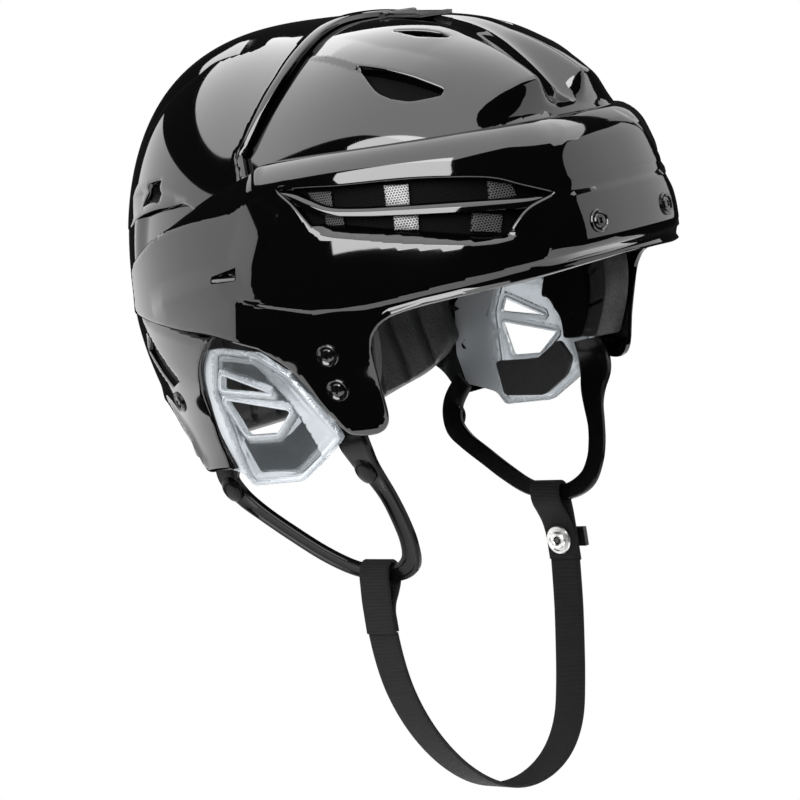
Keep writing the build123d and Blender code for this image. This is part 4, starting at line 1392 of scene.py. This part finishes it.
# Liners: moulded foam, softened towards the head
foamThick = 12.0
liners = {
    "brow_liner": {"span": (22, 39, -0.42, 0.42), "outer": -2.3, "body": "root", "grooves": (-0.14, 0.14)},
    "crown_liner_front": {
        "span": (47, 94, -0.42, 0.42), "outer": -6.8, "body": "root", "grooves": (-0.14, 0.14),
    },
    "crown_liner_rear": {
        "span": (104, 120, -0.42, 0.42), "outer": -3.5, "body": "rear", "grooves": (-0.14, 0.14),
    },
    "occipital_pad": {"span": (123, 193, -0.2, 0.2), "outer": -3.5, "body": "rear", "grooves": (-0.05, 0.05)},
    "side_liner_right": {"span": (62, 100, -0.84, -0.65), "outer": -3.5, "body": "root", "grooves": ()},
    "rear_liner_right": {
        "span": (123, 200, -0.76, -0.22), "outer": -3.5, "body": "rear",
        "grooves": (-0.66, -0.56, -0.46, -0.36),
        "outline": [(-0.22, 123), (-0.22, 196), (-0.42, 197), (-0.62, 193), (-0.7, 187), (-0.752, 177),
                    (-0.752, 123)],
    },
    "temple_pad_right": {
        "span": (-1, 34, -0.8, -0.695), "outer": -3.2, "body": "root", "grooves": (), "thick": 13.0,
    },
}


# A name with underscores in the form that the pieces use
def camel(name):
    first, *rest = name.split("_")
    return first + "".join(word.capitalize() for word in rest)


# A pad on the hood between two angles and two shares, with its grooves sunk along it
def makeLiner(name, facts):
    low, high, left, right = facts["span"]
    thick = facts.get("thick", foamThick)
    corners = facts.get("outline", [(left, low), (right, low), (right, high), (left, high)])
    outline = rounded(np.array(corners) * hood["scale"], 7.0, 1.6)
    folds = []
    for share in facts["grooves"]:
        line = np.stack([np.full(30, share), np.linspace(low + 2, high - 2, 30)], 1) * hood["scale"]
        folds.append({"rise": -3.2, "left": 3.0, "right": 3.0, "fade": 6.0, "line": line})
    if "outline" not in facts:
        middle = np.linspace(left, right, 30)
        cross = np.stack([middle, np.full(30, (low + high) / 2)], 1)[2:-2] * hood["scale"]
        folds.append({"rise": -2.6, "left": 3.0, "right": 3.0, "fade": 5.0, "line": cross})
    ring = rounded(np.array([
        (left + 0.03, low + 4), (right - 0.03, low + 4), (right - 0.03, high - 4), (left + 0.03, high - 4),
    ]) * hood["scale"], 4.0, 1.6)
    material = liningFoam if name.startswith(("rear", "occipital")) else blackFoam
    made = pillow(
        camel(name), hood, outline, -facts["outer"] + thick - 1.0, thick - 1.0, 2.6, material,
        inward=True, folds=folds, plateaus=[{"rise": 1.0, "ramp": 3.0, "loop": ring}], sharp=60.0,
    )
    if name.startswith("temple"):
        normals = np.empty(len(made.data.vertices) * 3)
        made.data.vertices.foreach_get("normal", normals)
        mark(made, "front", smooth(-normals.reshape(-1, 3)[:, 1], 0.25, 0.5))
        made.data.materials[0] = templeFoam
    if name.endswith("_right"):
        bothSides(made, facts["body"], name.removesuffix("_right"))
    else:
        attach(made, facts["body"])
        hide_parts(name)


for name, facts in liners.items():
    makeLiner(name, facts)
templeFoot = rounded(np.array([
    (-0.77, 40), (-0.79, 58), (-0.87, 64), (-0.94, 60), (-0.91, 30), (-0.845, -2), (-0.77, -1),
]) * hood["scale"], 6.0, 1.6)
templeFootRight = pillow(
    "templeFootRight", hood, templeFoot, 17.0, 5.0, 2.4, blackFoam, inward=True, sharp=60.0,
)
bothSides(templeFootRight, "root")
print("liners")

# Chin hangers: one moulded bar a side, from the front anchor round to the rear one
hanger = {
    "face": 94.5,
    "lean": 0.35,
    "leftRaised": 7.5,
    # metres: aside, along, and the heights where the bend starts and ends
    "bend": (0.084, -0.016, -0.038, -0.050),
    # y, z, width, groove depth, bulge
    "stations": [
        (-46.5, -14, 15, 0, -3.0), (-47.2, -19.5, 17, 0, 0.8), (-48.0, -27, 17, 0, 2.4),
        (-48.2, -35, 14, 0, 1.4), (-49.8, -43, 10.4, 0.1, 0.2), (-52.0, -52, 8.8, 1.0, 0),
        (-53.0, -63, 8.8, 1.0, 0), (-52.4, -74, 8.8, 1.0, 0), (-48.5, -83.5, 9.0, 1.0, 0),
        (-38.5, -88.6, 7.4, 0.6, 0), (-27, -88.6, 6.2, 0.3, 0), (-14, -86.4, 7.0, 0.8, 0),
        (0, -79.6, 7.6, 1.0, 0), (14, -69.6, 7.8, 1.0, 0), (27, -59, 8.2, 0.8, 0),
        (35.5, -49.5, 10.5, 0, 0.2), (37.5, -39, 12, 0, 0.8), (30, -29, 11, 0, -1.0),
    ],
}


# The bar's outline carried along its stations, on a face that lies further in the lower it is
def hangerRings(side, raised):
    keys = np.array(hanger["stations"], float)
    keys[:, 1] += raised * smooth(-keys[:, 1], 46, 84)
    path = run(keys, 1.3)
    along = np.gradient(path[:, :2], axis=0)
    along /= np.linalg.norm(along, axis=1)[:, None]
    across = np.stack([-along[:, 1], along[:, 0]], 1)
    lean = hanger["lean"]
    inward = np.array([1.0, 0.0, lean]) / math.hypot(1, lean)
    profile = [(-1, -2.5), (-1, -0.7), (-0.9, -0.15), (-0.74, 0.0), (-0.6, -0.12), (-0.46, -1.0), (0, -1.15),
               (0.46, -1.0), (0.6, -0.12), (0.74, 0.0), (0.9, -0.15), (1, -0.7), (1, -2.5), (0.86, -3.2),
               (0, -3.2), (-0.86, -3.2)]
    rings = []
    for (y, z, width, groove, bulge), (cy, cz) in zip(path, across):
        ring = []
        for u, v in profile:
            deep = v * groove - 0.1 * (1 - groove) * abs(u) if abs(u) < 0.65 and v > -2 else v
            py = y + cy * u * width / 2
            pz = z + cz * u * width / 2
            face = np.array([-hanger["face"] - lean * pz, py, pz])
            ring.append((face - inward * (deep + bulge)) * np.array([-side, 1, 1]))
        rings.append(ring)
    return rings


hangerRight = sweep("hangerRight", hangerRings(-1, 0.0), hangerPlastic, 34.0)
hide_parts("front_tab_right", "rear_tab_right", "chin_hanger_right")
hangerLeft = sweep("hangerLeft", hangerRings(1, hanger["leftRaised"]), hangerPlastic, 34.0)
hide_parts("front_tab_left", "rear_tab_left", "chin_hanger_left")
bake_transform(hangerRight)
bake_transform(hangerLeft)
buttonProfile = [(5.2, -0.5), (6.0, 0.6), (6.2, 1.3), (5.9, 2.0), (5.0, 2.5), (3.0, 2.75), (0.05, 2.85)]
for label, y, z in (("front", -47.8, -38.0), ("rear", 36.6, -45.5)):
    lean = hanger["lean"]
    spot = np.array([-hanger["face"] - lean * z, y, z])
    outward = np.array([-1.0, 0.0, -lean]) / math.hypot(1, lean)
    bothSides(lathe(label + "ButtonRight", buttonProfile, spot, outward, hangerPlastic, 40, 0.86), "root")
print("hangers")

# Webbing
web = {"width": 17.0, "thick": 1.7, "y": -28.0}


# A flat rounded outline carried along the path, and how far along it each ring lies
def bandRings(path, width, thick):
    along = np.gradient(path[:, [0, 2]], axis=0)
    along /= np.linalg.norm(along, axis=1)[:, None]
    outward = np.stack([along[:, 1], -along[:, 0]], 1)
    travelled = np.concatenate([[0], np.cumsum(np.linalg.norm(np.diff(path, axis=0), axis=1))])
    half = width / 2
    edge = thick / 2
    profile = [(-half, 0), (-half + 0.25, 0.75), (-half + 0.7, 1), (-half / 2, 1), (0, 1), (half / 2, 1),
               (half - 0.7, 1), (half - 0.25, 0.75), (half, 0), (half - 0.25, -0.75), (half - 0.7, -1),
               (half / 2, -1), (0, -1), (-half / 2, -1), (-half + 0.7, -1), (-half + 0.25, -0.75)]
    rings, uv = [], []
    for point, out, length in zip(path, outward, travelled):
        x, y, z = point
        rings.append([(x + out[0] * v * edge, y + u, z + out[1] * v * edge) for u, v in profile])
        uv.append([(length, u) for u, v in profile])
    return rings, uv


loopPath = run([(-67.5, -114.5), (-67.5, -107), (-67.4, -100), (-66.9, -94), (-66.3, -88.6), (-64.7, -84.4),
                (-61.9, -83.0), (-59.5, -84.6), (-58.6, -88.7), (-59.2, -92.6), (-61.6, -97), (-64.4, -101),
                (-65.7, -105), (-65.7, -109), (-65.7, -113.6)], 0.9)
for side, sign, raised in (("right", 1, 0.0), ("left", -1, hanger["leftRaised"])):
    spots = np.stack([sign * loopPath[:, 0], np.full(len(loopPath), web["y"]), loopPath[:, 1]], 1)
    spots[:, 2] += raised * smooth(spots[:, 2], -110, -96)
    rings, uv = bandRings(spots, web["width"], web["thick"])
    strapLoop = sweep("webbingLoop" + side.capitalize(), rings, webbing, 50.0, uv)
    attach(strapLoop, "hanger_" + side)
    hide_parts("strap_loop_" + side)

strapHalf = len(strapPath) // 2
for side, part in (("right", strapPath[:strapHalf + 1]), ("left", strapPath[strapHalf:][::-1])):
    rings, uv = bandRings(part * perMetre, web["width"], web["thick"] + 0.1)
    half = sweep("chinStrap" + side.capitalize(), rings, webbing, 50.0, uv)
    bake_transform(half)
    if side == "right":
        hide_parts("chin_strap")
print("webbing")

# The latch lies lower on the crown than its solids, with the same outline, and its pin is thinner and shorter
latch = {"height": 150.0, "keep": 0.45, "pin": (0.45, 0.4, 0.4)}


# A copy of a solid's mesh in one material
def solidCopy(name, source, material):
    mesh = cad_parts[source].data.copy()
    mesh.name = name
    mesh.materials.clear()
    mesh.materials.append(material)
    obj = bpy.data.objects.new(name, mesh)
    scene.collection.objects.link(obj)
    return obj


# Heights over the crown's slope at the latch's middle are cut to the share that is kept
def lowered(name, source):
    obj = solidCopy(name, source, blackPlastic)
    mesh = obj.data
    points = np.empty(len(mesh.vertices) * 3)
    mesh.vertices.foreach_get("co", points)
    world = np.array(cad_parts[source].matrix_world)
    points = points.reshape(-1, 3) @ world[:3, :3].T + world[:3, 3]
    low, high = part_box("crown_latch_base")
    middle = float((low[1] + high[1]) / 2)
    angle = np.degrees(np.arctan2(middle * perMetre + dome["forward"], latch["height"])) + 90
    spot, ahead, behind = (
        hoodPoint(np.array([0.0]), np.array([angle + turn]), capOut)[0] * millimetre for turn in (0, -1, 1)
    )
    along = (behind - ahead) / np.linalg.norm(behind - ahead)
    normal = np.array([0.0, -along[2], along[1]])
    height = (points - spot) @ normal
    points -= np.outer(height * (1 - latch["keep"]), normal)
    mesh.vertices.foreach_set("co", points.ravel())
    mesh.update()
    return obj


for name, source, body in (("latchBase", "crown_latch_base", "root"), ("latchLever", "crown_latch", "latch"),
                           ("latchPin", "latch_pin", "latch")):
    part = lowered(name, source)
    if name == "latchPin":
        points = meshPoints(part) * millimetre
        middle = points.mean(0)
        points = middle + (points - middle) * np.array(latch["pin"])
        part.data.vertices.foreach_set("co", points.ravel())
    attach(part, body)
    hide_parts(source)

# Screws in cup washers: (crown angle, share) of each seat, and the plan of the sheet it sits on
screwSeats = {
    "brow": ((25.4, -0.105), bandPlan, "root", "brow_screws"),
    "templeHigh": ((27.5, -0.8), bandPlan, "root", "temple_high_screws"),
    "templeLow": ((11.2, -0.787), bandPlan, "root", "temple_low_screws"),
    "rear": ((172.8, -0.69), rearBandPlan, "rear", "rear_screws"),
}
washerProfile = [(0.05, -2.0), (4.4, -2.0), (4.9, -0.2), (4.9, 0.5), (4.6, 0.8), (4.2, 0.75), (3.6, 0.1),
                 (3.1, -0.1), (3.0, 0.5), (2.6, 0.95), (1.6, 1.15), (0.05, 1.2)]


# The face's own spot and normal over the screw's place, from three near points
def seatOn(place, plan):
    angle, share = place
    spot = hoodPoint(np.array([share]), np.array([angle]), 0.0)[0]
    flat = np.array([[np.degrees(np.arctan2(-spot[0], -spot[1])) % 360, spot[2]]]) * band["scale"]
    near = flat + np.array([[0, 0], [1.5, 0], [0, 1.5]])
    points = onChart(band, near, plan["base"] + liftOf(near, plan))
    normal = np.cross(points[1] - points[0], points[2] - points[0])
    normal /= np.linalg.norm(normal)
    if normal @ (points[0] - np.array(insideShell)) < 0:
        normal = -normal
    return points[0], normal


cross = {"half": 2.1, "wide": 0.45, "turn": 0.6, "middle": 1.12, "end": 0.95, "flat": 0.25}


# Thin matte black bar across a screw head, painted shade that stands for its cross recess, higher at the
# head's middle than at its ends
def slot(name, origin, axis, turn):
    side = np.cross(axis, [math.cos(turn), math.sin(turn), 0.3])
    side /= np.linalg.norm(side)
    other = np.cross(axis, side)
    long, wide = cross["half"], cross["wide"]
    ring = [(-wide, -wide), (wide, -wide), (wide, wide), (-wide, wide)]
    rings = []
    for t in (-long, -long * 0.4, long * 0.4, long):
        high = cross["middle"] if abs(t) < long * 0.5 else cross["end"]
        spot = np.array(origin) + side * t
        rings.append([spot + other * u + axis * (high + v * cross["flat"]) for u, v in ring])
    return sweep(name, rings, blackMesh, 30.0)


for label, (place, plan, body, solid) in screwSeats.items():
    origin, axis = seatOn(place, plan)
    screw = lathe(label + "ScrewRight", washerProfile, origin, axis, blackMetal, 40)
    bothSides(screw, body)
    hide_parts(solid)
    # Two crossed black bars on each head paint the shade of its cross recess
    for i, turn in enumerate((cross["turn"], cross["turn"] + math.pi / 2)):
        bothSides(slot(label + "Slot" + str(i) + "Right", origin, axis, turn), body)

# Snap, keeper and fasteners
snapSpot = (66.51 - 2.6, web["y"], -104.0)  # 2.6 mm in from the left loop's tail
snapProfile = [(0.05, -0.5), (6.3, -0.5), (6.8, 0.0), (6.8, 0.5), (6.4, 1.0), (5.4, 1.15), (4.8, 0.7),
               (4.3, 0.8), (3.9, 1.5), (3.3, 1.95), (2.5, 2.1), (2.0, 1.7), (1.7, 0.5), (0.05, 0.4)]
snap = lathe("chromeSnap", snapProfile, snapSpot, (-1, 0, 0), chrome)
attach(snap, "hanger_left")
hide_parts("snap_cap")
eyeProfile = [(0.05, -0.4), (1.5, -0.4), (1.65, 1.2), (1.2, 1.75), (0.05, 1.8)]
snapEye = lathe("snapEye", eyeProfile, snapSpot, (-1, 0, 0), blackMetal, 24)
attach(snapEye, "hanger_left")


snapShift = Vector((-0.004, 0.005, 0.0))  # metres, with the strap from its place on the solids
snapParts = (("snapStud", "snap_stud", chrome), ("strapKeeper", "strap_keeper", blackPlastic))
for name, source, finish in snapParts:
    part = solidCopy(name, source, finish)
    part.data.transform(Matrix.Translation(snapShift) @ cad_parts[source].matrix_world)
    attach(part, "hanger_left")
    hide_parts(source)

# The nuts are the only solids that stay in sight
for name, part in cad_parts.items():
    finish = steel if name.endswith("_nuts") else blackPlastic
    if not part.data.materials:
        part.data.materials.append(finish)
    for i in range(len(part.data.materials)):
        part.data.materials[i] = finish

# Studio
world = bpy.data.worlds.new("studio")
scene.world = world
world.use_nodes = True
tree = world.node_tree
tree.nodes.clear()
# White where the camera looks, and through the clear guards, and nearly black where the shell reflects it
paths = node(tree, "ShaderNodeLightPath")
either = mathNode(tree, "MAXIMUM", paths.outputs["Is Camera Ray"], paths.outputs["Is Transmission Ray"])
dark = node(tree, "ShaderNodeBackground", {"Color": gray(0.02)})
bright = node(tree, "ShaderNodeBackground", {"Color": gray(1.0)})
mix = node(tree, "ShaderNodeMixShader", {0: either, 1: dark.outputs[0], 2: bright.outputs[0]})
node(tree, "ShaderNodeOutputWorld", {"Surface": mix.outputs[0]})


# A rectangular light: its energy is the radiance times its area times pi
def areaLight(name, place, target, width, height, radiance):
    data = bpy.data.lights.new(name, "AREA")
    data.shape = "RECTANGLE"
    data.size = width
    data.size_y = height
    data.energy = radiance * width * height * math.pi
    obj = bpy.data.objects.new(name, data)
    scene.collection.objects.link(obj)
    obj.location = place
    obj.rotation_euler = (Vector(target) - Vector(place)).to_track_quat("-Z", "Y").to_euler()
    return obj


aim = Vector((0, 0, 0.06))
# name, azimuth and height in degrees as the object sees it, distance, width, height, radiance
softboxes = [
    ("sideGrey", 111, 3, 2.4, 3.4, 2.1, 2.2),
    ("keyPanel", 200, 28, 2.2, 2.0, 1.7, 13.0),
    ("frontGrey", -42, 10, 2.2, 2.6, 2.0, 1.9),
    ("rightGrey", 8, 24, 2.2, 1.0, 0.9, 1.2),
]
areaLight("overhead", (0.2, 0.18, 1.5), (0.2, 0.18, 0.0), 2.9, 3.3, 3.8)
for name, azimuth, high, distance, width, tall, radiance in softboxes:
    turn, tilt = math.radians(azimuth), math.radians(high)
    level = math.cos(tilt)
    place = Vector((math.cos(turn) * level, math.sin(turn) * level, math.sin(tilt))) * distance
    areaLight(name, place + aim, aim, width, tall, radiance)


# White to the camera, and a pale diffuse grey to all other rays
def floorMaterial():
    made = bpy.data.materials.new("paleFloor")
    made.use_nodes = True
    tree = made.node_tree
    tree.nodes.clear()
    paths = node(tree, "ShaderNodeLightPath")
    pale = node(tree, "ShaderNodeBsdfDiffuse", {"Color": gray(0.8)})
    white = node(tree, "ShaderNodeEmission", {"Color": gray(1.0), "Strength": 1.0})
    seen = paths.outputs["Is Camera Ray"]
    mixed = node(tree, "ShaderNodeMixShader", {0: seen, 1: pale.outputs[0], 2: white.outputs[0]})
    node(tree, "ShaderNodeOutputMaterial", {"Surface": mixed.outputs[0]})
    return made


floorSize = 700.0
floorHeight = -450.0
floor = addMesh("floor", [(-floorSize, -floorSize, floorHeight), (floorSize, -floorSize, floorHeight),
                          (floorSize, floorSize, floorHeight), (-floorSize, floorSize, floorHeight)],
                [[0, 1, 2], [0, 2, 3]], floorMaterial())
scene.view_settings.view_transform = "Standard"
